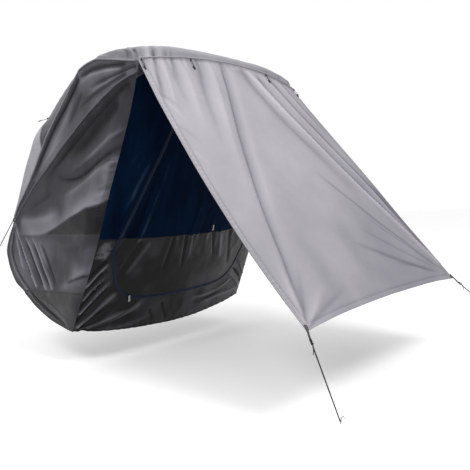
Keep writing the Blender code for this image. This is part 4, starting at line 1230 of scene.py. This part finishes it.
JAMB_INNER = [(SKIRT_END + (DOOR_HALF - SKIRT_END) * i / 5,
               HEM_HEIGHT + (DOOR_SHOULDER - HEM_HEIGHT) * i / 5) for i in range(6)]
JAMB_INNER.append((door_side(DOOR_LINE), DOOR_LINE))
JAMB_OUTER = [HEM_HEIGHT + (SKIRT_SEAM_REAR - HEM_HEIGHT) * i / 3 for i in range(3)]
JAMB_OUTER += [SKIRT_SEAM_REAR + (DOOR_LINE - SKIRT_SEAM_REAR) * i / 3 for i in range(4)]


def grid(rows, columns, start=0.0, end=1.0):
    """Shares down and across a grid."""
    return np.meshgrid(np.linspace(0.0, 1.0, rows), np.linspace(start, end, columns), indexing="ij")


def rear_pieces():
    """Mesh door and sides, door panel, jambs, skirt and hem."""
    b, a = grid(90, 100, -1.0, 1.0)
    height = mix(DOOR_LINE, LIP_HEIGHT, b)
    cloth("mesh_door", rear, door_side(height) * a, height, MESH_CLOTH, "mesh_cloth",
          "door_mesh", NETTING)
    for side, word in SIDES:
        b, a = grid(90, 30)
        height = mix(DOOR_LINE, LIP_HEIGHT, b)
        u = side * mix(door_side(height), 1, a)
        cloth(f"mesh_strip_{word}", rear, u, height, MESH_CLOTH, "mesh_cloth",
              f"mesh_side_{word}", NETTING)
        b, a = grid(120, 40)
        place = b * (len(JAMB_INNER) - 1)
        steps = np.arange(len(JAMB_INNER))
        inner_u = np.interp(place, steps, [p[0] for p in JAMB_INNER])
        inner_h = np.interp(place, steps, [p[1] for p in JAMB_INNER])
        outer_h = np.interp(place, steps, JAMB_OUTER)
        cloth(f"jamb_{word}", rear, side * mix(inner_u, 1, a),
              mix(inner_h, outer_h, a), BLACK_CLOTH, "black_cloth",
              f"rear_jamb_{word}")
    b, a = grid(60, 150, -1.0, 1.0)
    low = door_bottom(a)
    cloth("door_foot", rear, a * mix(DOOR_HALF, door_side(DOOR_LINE), b),
          mix(low, DOOR_LINE, b), BLACK_CLOTH, "black_cloth",
          "door_panel")
    b, a = grid(60, 190, -1.0, 1.0)
    cloth("skirt_rear", rear, a * mix(SKIRT_END, DOOR_HALF, b),
          mix(HEM_HEIGHT, door_bottom(a), b), BLACK_CLOTH, "black_cloth",
          "rear_skirt")
    u = np.linspace(-1.0, 1.0, 260)
    rings("hem_roll_rear", rear.points(u, HEM_HEIGHT + 0.004, -0.002), HEM_ROLL, BLACK_CLOTH, 10,
          "rear_hem", "black_cloth")
    u = np.linspace(-0.80, 0.80, 240)
    path, out = line(rear, u, DOOR_LINE, 0.0)
    band("door_seam", path, out, 0.010, 0.0025, 0.0015, BLACK_CLOTH, None, "black_cloth")


# Cloth that the side wraps round the mesh's top corner: its foot at the seam and at its inner end
WRAP_FEET = (1.775, 1.83)
WRAP_END = 0.87


def corner_wraps():
    """Cloth of the sides that goes on round the top corners, over the mesh."""
    b, a = grid(16, 24)
    foot = mix(*WRAP_FEET, a)
    for side, word in SIDES:
        u = side * (1 - (1 - WRAP_END) * a)
        # The wraps are drawn in the seams' paler charcoal, whose paleness is painted light
        layers(f"corner_wrap_{word}", rear, u, mix(foot, LIP_HEIGHT - 0.002, b),
               SEAM_CLOTH, 0.0022, -0.0004, None, "charcoal_cloth")
        path, out = line(rear, u[0], foot[0], 0.0022)
        band(f"corner_wrap_seam_{word}", path, out, 0.010, 0.0022, 0.0018, SEAM_CLOTH, None,
             "charcoal_cloth")


def zip_line():
    """Places along the door's zip: down one side, round its foot and up the other."""
    arm = np.linspace(LIP_HEIGHT - 0.03, DOOR_SHOULDER, 120)[:-1]
    a = np.concatenate([np.linspace(-1.0, -0.8, 60), np.linspace(-0.8, 0.8, 120)[1:-1],
                        np.linspace(0.8, 1.0, 60)])
    u = np.concatenate([-door_side(arm), a * DOOR_HALF, door_side(arm[::-1])])
    return u, np.concatenate([arm, door_bottom(a), arm[::-1]])


def zip_pieces():
    u, height = zip_line()
    path, out = line(rear, u, height, 0.0006)
    band("zip_tape", path, out, 0.024, 0.0012, 0.0003, ZIP_TAPE, "door_zip", "zip_tape")
    rings("zip_coil", path + out * 0.0020, 0.0022, ZIP_COIL, 8, None, "zip_tape")


rear_pieces()
corner_wraps()
zip_pieces()


# Sides

def blended(rear_end, front_end, bottom, top, s, t):
    """A grid of places between its two ends and its lower and upper lines."""
    low, high = (mix(line[:, :1], line[:, -1:], s) for line in (bottom, top))
    across = mix(rear_end, front_end, s)
    return across + bottom + (top - bottom) * t - mix(low, high, t)


def corner_line(low, high, t):
    """Places on the line of the rear corner, between two heights."""
    height = mix(low, high, t)
    return np.stack([corner(height)[1], height], axis=-1)


def side_grids():
    """Places (y, height) of the wing, the wall and the skirt, each as a grid."""
    t, s = grid(46, 170)
    seam_line = [(float(corner(WING_TOP)[1]), WING_TOP)] + WING_SEAM
    lower = through(seam_line, s)
    fascia = through(FASCIA_SEAM, s / FASCIA_SHARE)
    hood_line = through(HOOD_SEAM, (s - FASCIA_SHARE) / (1 - FASCIA_SHARE))
    upper = np.where((s < FASCIA_SHARE)[..., None], fascia, hood_line)
    wing = mix(lower, upper, t[..., None])

    seam_rear = np.array([float(corner(SKIRT_SEAM_REAR)[1]), SKIRT_SEAM_REAR])
    seam_front = np.array([SIDE_FRONT[0][0], SKIRT_SEAM_FRONT])
    t, s = grid(130, 130)
    wall = blended(corner_line(SKIRT_SEAM_REAR, WING_TOP, t), through(SIDE_FRONT, t),
                   mix(seam_rear, seam_front, s[..., None]), through(seam_line, s),
                   s[..., None], t[..., None])
    t, s = grid(36, 110)
    last = np.array(SIDE_HEM[-1])
    skirt = blended(corner_line(HEM_HEIGHT, SKIRT_SEAM_REAR, t),
                    mix(last, seam_front, t[..., None]), through(SIDE_HEM, s),
                    mix(seam_rear, seam_front, s[..., None]), s[..., None],
                    t[..., None])
    return wing, wall, skirt


# Rows of stitching in a seam, as shares of its width from its middle
SEAM_ROWS = (-0.28, 0.28)


def seam(name, surface, places, materials, slot, width, rise):
    """A felled seam along a line of places, with its rows of stitching."""
    path, out = line(surface, places[:, 0], places[:, 1], 0.0)
    band(name, path, out, width, rise, 0.0015, materials[0], None, slot)
    across = np.cross(unit(np.gradient(path, axis=0)), out)
    for k, row in enumerate(SEAM_ROWS):
        stitches(f"{name}_stitches_{k + 1}", path + across * (row * width) + out * rise * 0.93, out,
                 materials[1], slot)


def side_pieces(word):
    """Wing, wall and skirt, the seams between them, and the hem."""
    surface = sides[word]
    wing, wall, skirt = side_grids()
    cloth(f"wing_cloth_{word}", surface, wing[..., 0], wing[..., 1], CHARCOAL_CLOTH,
          "charcoal_cloth", f"wing_{word}")
    cloth(f"wall_cloth_{word}", surface, wall[..., 0], wall[..., 1], CHARCOAL_CLOTH,
          "charcoal_cloth", f"side_wall_{word}")
    cloth(f"skirt_cloth_{word}", surface, skirt[..., 0], skirt[..., 1], SKIRT_CLOTH,
          "black_cloth", f"side_skirt_{word}")
    seam(f"wing_seam_{word}", surface, wing[0], (SEAM_CLOTH, DARK_THREAD), "charcoal_cloth",
         0.014, 0.0048)
    seam(f"hood_seam_{word}", surface, wing[-1][4:], (SILVER_CLOTH, LIGHT_THREAD), "silver_cloth",
         0.010, 0.0055)
    seam(f"skirt_seam_{word}", surface, wall[0], (SKIRT_CLOTH, DARK_THREAD), "black_cloth",
         0.010, 0.0020)
    edge = np.concatenate([skirt[0][1:], wall[1:, -1]])
    path = surface.points(edge[:, 0], edge[:, 1], -0.002)
    count = np.arange(len(path))
    wave = 0.0013 * np.sin(count * 1.9) + 0.0009 * np.sin(count * 3.1)
    rings(f"hem_roll_{word}", path, HEM_ROLL + wave, SKIRT_CLOTH, 10, f"side_hem_{word}",
          "black_cloth")


for word in sides:
    side_pieces(word)


# Hood

def edit(obj):
    """Edit mode, with everything selected."""
    bpy.context.view_layer.objects.active = obj
    bpy.ops.object.mode_set(mode="EDIT")
    bpy.ops.mesh.select_all(action="SELECT")


# Gathers that go on up the hood's band from the lip, as (place across, height, shade)
BAND_GATHERS = [(-0.97, -0.009, 1.2), (-0.915, 0.005, 0.5), (-0.865, -0.011, 1.4),
                (-0.81, 0.004, 0.4), (-0.755, -0.007, 0.7), (-0.705, -0.005, 0.5),
                (-0.455, -0.003, 0.2), (-0.20, -0.003, 0.2), (0.14, 0.004, 0.2),
                (0.46, -0.004, 0.3), (0.70, -0.005, 0.5), (0.80, 0.005, 0.3), (0.90, -0.006, 0.6)]

# Other folds of the hood, as (x, y, height): each one is on both sides
HOOD_CREASES = [
    ([(0.758, -0.735, 1.870), (0.752, -0.715, 1.925), (0.70, -0.63, 1.985)], -0.007, 0.9),
    ([(0.762, -0.705, 1.885), (0.752, -0.685, 1.935), (0.70, -0.58, 1.990)], 0.006, 0.4),
    ([(0.766, -0.66, 1.895), (0.752, -0.63, 1.950), (0.71, -0.52, 1.995)], -0.006, 0.6),
    ([(0.768, -0.50, 1.930), (0.752, -0.40, 1.960), (0.70, -0.26, 1.985)], 0.005, 0.4),
    ([(0.76, 0.345, 1.62), (0.78, 0.305, 1.54), (0.80, 0.270, 1.47)], -0.006, 0.6),
]
CREASE_REACH = (0.010, 0.011)

# Rounds of subdivision
HOOD_ROUNDS = 4


def hood_mesh():
    """One cover over the top, the lip band and the tails, rounded where they meet."""
    columns = np.array([-u for u in reversed(HOOD_SPREAD)] + list(HOOD_SPREAD))
    top = np.array([hood_row(i, columns) for i in range(len(HOOD_ROWS))])
    lip = rear_point(columns, np.full_like(columns, LIP_HEIGHT))
    patches = [top, np.linspace(lip, top[0], 3)]
    for side, crown in ((-1, top[:, 0]), (1, top[:, -1])):
        low = side_point(side, *curve(FASCIA_SEAM, FASCIA_ROWS + 1).T)
        patches.append(np.linspace(low, crown[:FASCIA_ROWS + 1], 3))
        low = side_point(side, *curve(HOOD_SEAM, 12).T)
        free = side_point(side, *curve(TAIL_EDGE, 9).T)
        patches.append(np.linspace(low, np.concatenate([crown[FASCIA_ROWS:], free[1:]]), 4))
    faces, start = [], 0
    for patch in patches:
        faces += grid_faces(*patch.shape[:2], start).tolist()
        start += patch.shape[0] * patch.shape[1]
    data = bpy.data.meshes.new("hood_cloth")
    data.from_pydata(np.concatenate([p.reshape(-1, 3) for p in patches]).tolist(), [], faces)
    obj = bpy.data.objects.new("hood_cloth", data)
    bpy.context.scene.collection.objects.link(obj)
    obj.select_set(True)
    edit(obj)
    bpy.ops.mesh.remove_doubles(threshold=0.0008)
    bpy.ops.mesh.normals_make_consistent(inside=False)
    bpy.ops.object.mode_set(mode="OBJECT")
    smoother = obj.modifiers.new("round", "SUBSURF")
    smoother.levels = smoother.render_levels = HOOD_ROUNDS
    smoother.boundary_smooth = "PRESERVE_CORNERS"
    bpy.ops.object.modifier_apply(modifier=smoother.name)
    return obj


def border_distance(data, points):
    """How far each point is from the sheet's border."""
    uses = {}
    for face in data.polygons:
        for key in face.edge_keys:
            uses[key] = uses.get(key, 0) + 1
    edges = {i for key, count in uses.items() if count == 1 for i in key}
    gap = np.full(len(points), np.inf)
    for place in points[sorted(edges)]:
        gap = np.minimum(gap, ((points - place) ** 2).sum(axis=1))
    return np.sqrt(gap)


def hood_folds():
    """Folds of the hood as (path, height, shade)."""
    for u, height, shade in BAND_GATHERS:
        u = np.array([u])
        lip = rear_point(u, np.array([LIP_HEIGHT]))[0]
        yield np.array([lip, hood_row(0, u)[0], hood_row(1, u * 0.98)[0]]), height, shade
    for places, height, shade in HOOD_CREASES:
        for side, _ in SIDES:
            path = at(*np.array(places).T)
            path[:, 0] *= side
            yield path, height, shade


def hood_relief(points, normals):
    """How far the hood's cloth rises and how light it is, from -1 to 1."""
    slack = crinkle(points[:, 1] * 14.0 + 30.0, points[:, 2] * 14.0 + 60.0, 42)
    rise = noise(points[:, 0] * 6.0 + 20.0, points[:, 1] * 6.0 + 20.0, 41) * 0.003 + slack * 0.005
    tone = 0.4 * slack
    for places, height, shade in hood_folds():
        item = Fold([(0.0, 0.0), (1.0, 0.0)], height, CREASE_REACH, shade, (0.0, 0.4), 0.3, 1.2)
        shape = item.shape(lambda a, b: through(places, a), points, normals, 1)
        rise += item.height * shape
        tone += item.shade * shape
    # Painted shade beside the hood's seam, where the cloth turns under
    for side, _ in SIDES:
        way = nearest(side_point(side, *curve(HOOD_SEAM[:4], 20).T), points)[0]
        tone -= 0.6 * np.exp(-(np.linalg.norm(way, axis=1) / 0.04) ** 2)
    # Its sides turn from the light, most of all below the straps, and the tails past them face it
    y, height = points[:, 1] + ORIGIN_Y, points[:, 2] + SEAT_HEIGHT
    out = smooth((np.abs(points[:, 0]) - 0.70) / 0.06)
    tail = smooth((y - TAIL_EDGE[0][0] + (TAIL_EDGE[0][1] - height) * 0.5) / 0.02 + 0.5)
    tone += out * (0.5 * tail - (1 - tail) * (0.40 + 0.55 * smooth(y / 0.3)))
    return rise, np.clip(tone, -1.0, 1.0)


def hood_piece():
    """The hood's cloth with its folds, and the roll of its front hem."""
    obj = hood_mesh()
    data = obj.data
    points = np.zeros(len(data.vertices) * 3)
    normals = np.zeros_like(points)
    data.vertices.foreach_get("co", points)
    data.vertices.foreach_get("normal", normals)
    points, normals = points.reshape(-1, 3), normals.reshape(-1, 3)
    if normals[:, 2].mean() < 0:
        normals = -normals
        data.flip_normals()
    rise, tone = hood_relief(points, normals)
    # The lower edge is sewn down, so only the band's gathers reach it
    loose = smooth(border_distance(data, points) / 0.02)
    front = smooth((-0.26 - points[:, 1]) / 0.05)
    rise *= np.maximum(loose, front * 0.8)
    data.vertices.foreach_set("co", (points + normals * rise[:, None]).ravel())
    # The tone is kept as painted light and shade on the hood's cloth
    painted_light_and_mottle = data.attributes.new("painted_light_and_mottle", "FLOAT", "POINT")
    painted_light_and_mottle.data.foreach_set("value", tone)
    layer = data.uv_layers.new(name="cloth")
    for loop in data.loops:
        place = points[loop.vertex_index]
        layer.data[loop.index].uv = (place[0], place[1] - place[2])
    thick = obj.modifiers.new("thickness", "SOLIDIFY")
    thick.thickness = CLOTH
    thick.offset = -1
    bpy.ops.object.modifier_apply(modifier=thick.name)
    obj.select_set(False)
    smoothed(data, 60)
    finish(obj, SILVER_CLOTH, ["hood_top", "fascia_centre", "fascia_left", "fascia_right",
                               "hood_tail_left", "hood_tail_right"], "silver_cloth")
    hem = hood_row(-1, np.linspace(-1.0, 1.0, 80)) + np.array([0.0, 0.001, -0.001])
    rings("hem_roll_hood", hem, 0.005, BLACK_CLOTH, 10, "hood_front_hem", "black_cloth")


hood_piece()


# Fittings: hard pieces are shaped from primitives at the origin, then put in their place

def primitive(kind, **settings):
    """A primitive, alone selected, with its size in its mesh."""
    bpy.ops.object.select_all(action="DESELECT")
    getattr(bpy.ops.mesh, f"primitive_{kind}_add")(**settings)
    bpy.ops.object.transform_apply(location=True, rotation=True, scale=True)
    return bpy.context.object


def pick(obj, test):
    """In edit mode, select the vertices whose place passes a test."""
    bpy.ops.mesh.select_mode(type="VERT")
    build = bmesh.from_edit_mesh(obj.data)
    for vertex in build.verts:
        vertex.select = bool(test(vertex.co))
    build.select_flush_mode()
    bmesh.update_edit_mesh(obj.data)


def block(size, bevel):
    """A block with rounded edges."""
    obj = primitive("cube", size=1.0, scale=size)
    edit(obj)
    bpy.ops.mesh.bevel(offset=bevel, segments=3, affect="EDGES")
    bpy.ops.object.mode_set(mode="OBJECT")
    return obj


def bore(obj, centre, radius):
    """A round hole straight through, from its outer face to its inner one."""
    cutter = primitive("cylinder", vertices=20, radius=radius, depth=0.05, location=centre)
    cut = obj.modifiers.new("hole", "BOOLEAN")
    cut.operation = "DIFFERENCE"
    cut.solver = "EXACT"
    cut.object = cutter
    bpy.ops.object.select_all(action="DESELECT")
    bpy.context.view_layer.objects.active = obj
    bpy.ops.object.modifier_apply(modifier=cut.name)
    bpy.data.objects.remove(cutter, do_unlink=True)


MASTERS = {}


def again(make):
    """A copy, with its own mesh, of a piece that make shapes once."""
    if make not in MASTERS:
        MASTERS[make] = make()
    obj = MASTERS[make].copy()
    obj.data = MASTERS[make].data.copy()
    bpy.context.scene.collection.objects.link(obj)
    return obj


def settle(obj, name, centre, along, out, material, node, slot):
    """Put a piece's x along one way and its z out, and its place in its mesh."""
    x = Vector(along).normalized()
    z = Vector(out) - x * Vector(out).dot(x)
    z.normalize()
    turn = Matrix((x, z.cross(x), z)).transposed()
    obj.data.transform(Matrix.Translation(Vector(centre)) @ turn.to_4x4())
    obj.name = name
    obj.data.name = name
    smoothed(obj.data, 35)
    obj.select_set(False)
    return finish(obj, material, node, slot)


def straight(start, end, count):
    return np.linspace(np.array(start, float), np.array(end, float), count)


def closed_up():
    """Turn a finished shell's faces outwards and leave edit mode."""
    bpy.ops.mesh.select_all(action="SELECT")
    bpy.ops.mesh.normals_make_consistent(inside=False)
    bpy.ops.object.mode_set(mode="OBJECT")


# The long runs of ropes and elastic cords are drawn this much thicker still, so that they show
LINE_DRAWN = 1.4
# Rounding of the edges of small blocks, and of thinner plates
BLOCK_BEVEL = 0.0018
PLATE_BEVEL = 0.0016
# Size of a knot: about a third of its half width
KNOT_SIZE = 0.0011


def knot(name, centre, along, radius, material, slot):
    """An overhand knot: a cord that goes three times round itself."""
    t = np.linspace(0.0, 2 * pi, 49)[:-1]
    x = unit(np.array(along, float))
    y = unit(np.cross(x, [0.3, 0.4, 0.87]))
    z = np.cross(x, y)
    path = (np.outer(-np.sin(3 * t), x) + np.outer(np.sin(t) + 2 * np.sin(2 * t), y)
            + np.outer(np.cos(t) - 2 * np.cos(2 * t), z)) * KNOT_SIZE + np.array(centre)
    rings(name, path, radius * 0.8, material, 8, None, slot)


# Toggle: its barrel's radius and length, its groove's half width and how thin it is there, the
# size of its seat, how far down the awning its loop hangs, the points along the loop, and the
# loop's radius
BARREL = (0.0058, 0.022)
GROOVE = 0.003
GROOVE_THIN = 0.72
TOGGLE_SEAT = (0.012, 0.009, 0.006)
TOGGLE_FALL = 0.052
TOGGLE_POINTS = 10
TOGGLE_CORD = 0.0013


def barrel():
    """A toggle's barrel, with a groove round its middle, along x."""
    radius, length = BARREL
    obj = primitive("cylinder", vertices=20, radius=radius, depth=length)
    edit(obj)
    for height in (-GROOVE, 0.0, GROOVE):
        bpy.ops.mesh.select_all(action="SELECT")
        bpy.ops.mesh.bisect(plane_co=(0.0, 0.0, height), plane_no=(0.0, 0.0, 1.0))
    pick(obj, lambda co: abs(co.z) < 0.001)
    bpy.ops.transform.resize(value=(GROOVE_THIN, GROOVE_THIN, 1.0))
    pick(obj, lambda co: abs(co.z) > length / 2 - 0.001)
    bpy.ops.mesh.bevel(offset=0.0015, segments=2, affect="EDGES")
    bpy.ops.object.mode_set(mode="OBJECT")
    obj.data.transform(Matrix.Rotation(pi / 2, 4, "Y"))
    return obj


def toggle_seat():
    return block(TOGGLE_SEAT, BLOCK_BEVEL)


def toggle(index, x):
    """A grooved barrel on an elastic loop that hangs from the lip's tape."""
    u = x / LIP_HALF
    shares = np.linspace(-0.008, TOGGLE_FALL / AWNING_LENGTH, TOGGLE_POINTS)
    lift = BARREL[0] + 0.0006 + 0.004 * np.sin(np.linspace(0.0, pi, TOGGLE_POINTS))
    rest, normals, rise, _ = awning.relief(u, shares)
    path = rest + normals * (rise + lift)[:, None]
    away = unit(np.cross(normals, np.gradient(path, axis=0)))
    apart = away * (0.0035 * np.sin(np.linspace(0.15, pi - 0.25, TOGGLE_POINTS)))[:, None]
    for word, half in (("a", path + apart), ("b", path - apart)):
        rings(f"toggle_loop_{index}_{word}", half, TOGGLE_CORD, CORD_BRAID, 8, None, "cord")
    lean = away[-1] * 0.5 + (path[-1] - path[-2]) * 200
    settle(again(barrel), f"toggle_barrel_{index}", path[-1], lean, normals[-1], TOGGLE_PLASTIC,
           f"roll_toggle_{index}", "black_plastic")
    settle(again(toggle_seat), f"toggle_seat_{index}", path[1], path[2] - path[1], normals[1],
           TOGGLE_PLASTIC, None, "black_plastic")


# Zip pull: slider, the tab that hangs from it, and the tab's eye
SLIDER = (0.016, 0.011, 0.006)
PULL = (0.046, 0.015, 0.004)
PULL_EYE = 0.0016


def slider():
    return block(SLIDER, BLOCK_BEVEL)


def pull_tab():
    """The tab of a pull, narrower towards its eye."""
    obj = block(PULL, 0.0010)
    edit(obj)
    pick(obj, lambda co: co.x > 0)
    bpy.ops.transform.resize(value=(1.0, 0.7, 1.0))
    bpy.ops.object.mode_set(mode="OBJECT")
    bore(obj, (PULL[0] / 2 - 0.005, 0.0, 0.0), PULL_EYE)
    return obj


def zip_pull(index, u, height):
    """A slider on the zip's coil, with its white pull tab."""
    u, height = np.array([u]), np.array([height])
    centre, out = (v[0] for v in line(rear, u, height, 0.0045))
    up = unit(rear.points(u, height + 0.01)[0] - rear.points(u, height - 0.01)[0])
    settle(again(slider), f"zip_slider_{index}", centre, up, out, TOGGLE_PLASTIC, None, "zip_pull")
    lean = up + 0.22 * np.cross(out, up)
    settle(again(pull_tab), f"zip_tab_{index}", centre + out * 0.0048 - unit(lean) * 0.018, lean, out,
           PULL_PLASTIC, f"zip_pull_{index}", "zip_pull")


def raised(height):
    """Extrude what is selected upwards."""
    bpy.ops.mesh.extrude_region_move(TRANSFORM_OT_translate={"value": (0.0, 0.0, height)})


def peg_wire():
    """A peg of steel wire: a shaft with a point, bent over at its head."""
    reach = PEG_LENGTH + PEG_NECK
    obj = primitive("circle", vertices=12, radius=PEG_RADIUS, fill_type="NGON",
                    location=(0.0, 0.0, -reach))
    edit(obj)
    bpy.ops.transform.resize(value=(0.2, 0.2, 1.0))
    raised(PEG_POINT)
    bpy.ops.transform.resize(value=(5.0, 5.0, 1.0))
    raised(reach - PEG_POINT)
    bpy.ops.mesh.spin(steps=10, angle=-pi, center=(PEG_HOOK, 0.0, 0.0), axis=(0.0, 1.0, 0.0))
    closed_up()
    return obj


def runner():
    """A line runner: a plate with two holes."""
    obj = block(RUNNER, PLATE_BEVEL)
    for x in (-RUNNER_HOLE_PLACE, RUNNER_HOLE_PLACE):
        bore(obj, (x, 0.0, 0.0), RUNNER_HOLE)
    return obj


def guy(side, word, place):
    """Corner tab, line runner, rope and peg of one corner of the awning."""
    corner_point = Vector(at(side * AWNING_CORNER[0], *AWNING_CORNER[1:]))
    foot = Vector(at(place[0], place[1], PEG_GRIP))
    away = foot - corner_point
    away.z = 0.0
    away.normalize()
    down = -away * sin(PEG_LEAN) - Vector((0.0, 0.0, cos(PEG_LEAN)))
    aside = away * cos(PEG_LEAN) - Vector((0.0, 0.0, sin(PEG_LEAN)))
    end = foot - aside * (PEG_RADIUS + ROPE)
    way = (end - corner_point).normalized()
    out = Vector(AWNING_OUT)
    tab_end = corner_point + way * (TAB[0] + TAB_SEATS[word])
    inward = Vector((-side * 0.35, 0.62, 0.70)).normalized()
    start = corner_point + inward * 0.030 + out * 0.004
    path = np.concatenate([straight(start, corner_point + out * 0.003, 8)[:-1],
                           straight(corner_point + out * 0.003, tab_end, 9)])
    outs = np.tile(np.array(out), (len(path), 1))
    band(f"corner_web_{word}", path, outs, TAB[1], TAB_HALF, TAB_HALF, TAB_TAPE,
         f"corner_tab_{word}", "awning_cloth")
    stitches(f"corner_web_stitches_{word}", path[:8] + np.array(out) * 0.0012, outs[:8],
             GREY_THREAD, "awning_cloth")
    middle = tab_end + way * (RUNNER[0] / 2 + 0.0003)
    settle(again(runner), f"runner_plate_{word}", middle, way, out, TOGGLE_PLASTIC,
           f"line_runner_{word}", "black_plastic")
    top = middle + out * (RUNNER[2] / 2 + ROPE)
    hole = middle + way * RUNNER_HOLE_PLACE
    slack = [hole - out * 0.001, middle + way * 0.012 + out * 0.003, middle + way * 0.030]
    path = np.concatenate([curve(slack, 8), straight(slack[-1], end, 40)[1:]])
    rings(f"rope_{word}", path, ROPE * LINE_DRAWN, CORD_BRAID, 10, f"guy_rope_{word}", "cord")
    loop = [hole, top + way * 0.004, top - way * 0.006, middle - way * 0.012,
            tab_end - way * 0.006]
    rings(f"rope_loop_{word}", curve(loop, 24), ROPE * 0.9, CORD_BRAID, 10, None, "cord")
    knot(f"rope_knot_{word}", top + way * 0.012, way, ROPE, CORD_BRAID, "cord")
    hang = Vector((0.25 * side, -0.1, -1.0)).normalized()
    tail = [top + way * 0.014, top + way * 0.020 + hang * 0.012, top + way * 0.024 + hang * 0.040]
    rings(f"rope_tail_{word}", curve(tail, 12), ROPE * 0.8, CORD_BRAID, 8, None, "cord")
    settle(again(peg_wire), f"peg_wire_{word}", foot - down * PEG_NECK, aside, -down, ZINC_STEEL,
           f"peg_{word}", "peg_steel")


def wire_hook():
    """An open hook of steel wire on the end of an elastic cord."""
    obj = primitive("circle", vertices=10, radius=HOOK_WIRE, fill_type="NGON")
    edit(obj)
    raised(HOOK_SHANK)
    bpy.ops.mesh.spin(steps=12, angle=-1.15 * pi, center=(HOOK_RADIUS, 0.0, HOOK_SHANK),
                      axis=(0.0, 1.0, 0.0))
    closed_up()
    return obj


def side_cord(side, word):
    """Loop at the tip of the tail, with the elastic cord and its hook."""
    tip = Vector(side_point(side, *np.array(HOOD_SEAM[-1])))
    hook_end = Vector(at(side * CORD_END[0], *CORD_END[1:]))
    way = (hook_end - tip).normalized()
    out = Vector((side, 0.0, 0.0))
    start = tip + out * LOOP_SEAT - way * 0.012
    loop_end = start + way * (LOOP[0] + 0.010)
    path = straight(start, loop_end, 10)
    band(f"loop_web_{word}", path, np.tile(np.array(out), (10, 1)), LOOP[1], WEB_HALF, WEB_HALF,
         STRAP_TAPE, f"side_loop_{word}", "webbing")
    end = hook_end - way * HOOK_SETBACK
    rings(f"elastic_{word}", straight(loop_end - way * 0.004, end + way * 0.002, 24),
          CORD * LINE_DRAWN, CORD_BRAID, 10, f"side_cord_{word}", "cord")
    knot(f"elastic_knot_{word}", loop_end + way * 0.004, way, CORD, CORD_BRAID, "cord")
    up = (Vector((0.0, 0.0, 1.0)) - way * way.z).normalized()
    settle(again(wire_hook), f"wire_hook_{word}", end, up, way, ZINC_STEEL, None, "peg_steel")


def buckle():
    """A ladder buckle: a plate with three openings."""
    obj = block(BUCKLE, PLATE_BEVEL)
    for across in (-BUCKLE_PITCH, 0.0, BUCKLE_PITCH):
        bore(obj, (0.0, across, 0.0), BUCKLE_HOLE)
    return obj


def roof_strap(side, word):
    """Webbing strap at the hood's front corner, with its ladder buckle."""
    y, x, height = HOOD_ROWS[-1][:3]
    tip = Vector(at(side * x, y, height))
    way = Vector((side * STRAP_WAY[0], *STRAP_WAY[1:])).normalized()
    out = Vector((side * 0.3, 0.0, 1.0))
    centre = tip + way * STRAP_REACH - Vector((0.0, 0.0, STRAP_DROP))
    path = straight(centre - way * (STRAP[0] / 2 + 0.006), centre + way * STRAP[0] / 2, 16)
    outs = np.tile(np.array(out.normalized()), (16, 1))
    band(f"strap_web_{word}", path, outs, STRAP[1], WEB_HALF, WEB_HALF, STRAP_TAPE,
         f"roof_strap_{word}", "webbing")
    settle(again(buckle), f"strap_buckle_{word}", centre + way * (STRAP[0] / 2 - 0.004), way, out,
           TOGGLE_PLASTIC, None, "black_plastic")


for index, x in enumerate(TOGGLES, 1):
    toggle(index, x)
zip_pull(1, *PULL_LOW)
zip_pull(2, *PULL_HIGH)
for (side, word), peg_place in zip(SIDES, (LEFT_PEG, RIGHT_PEG)):
    guy(side, word, peg_place)
    side_cord(side, word)
    roof_strap(side, word)
for master in MASTERS.values():
    bpy.data.objects.remove(master, do_unlink=True)
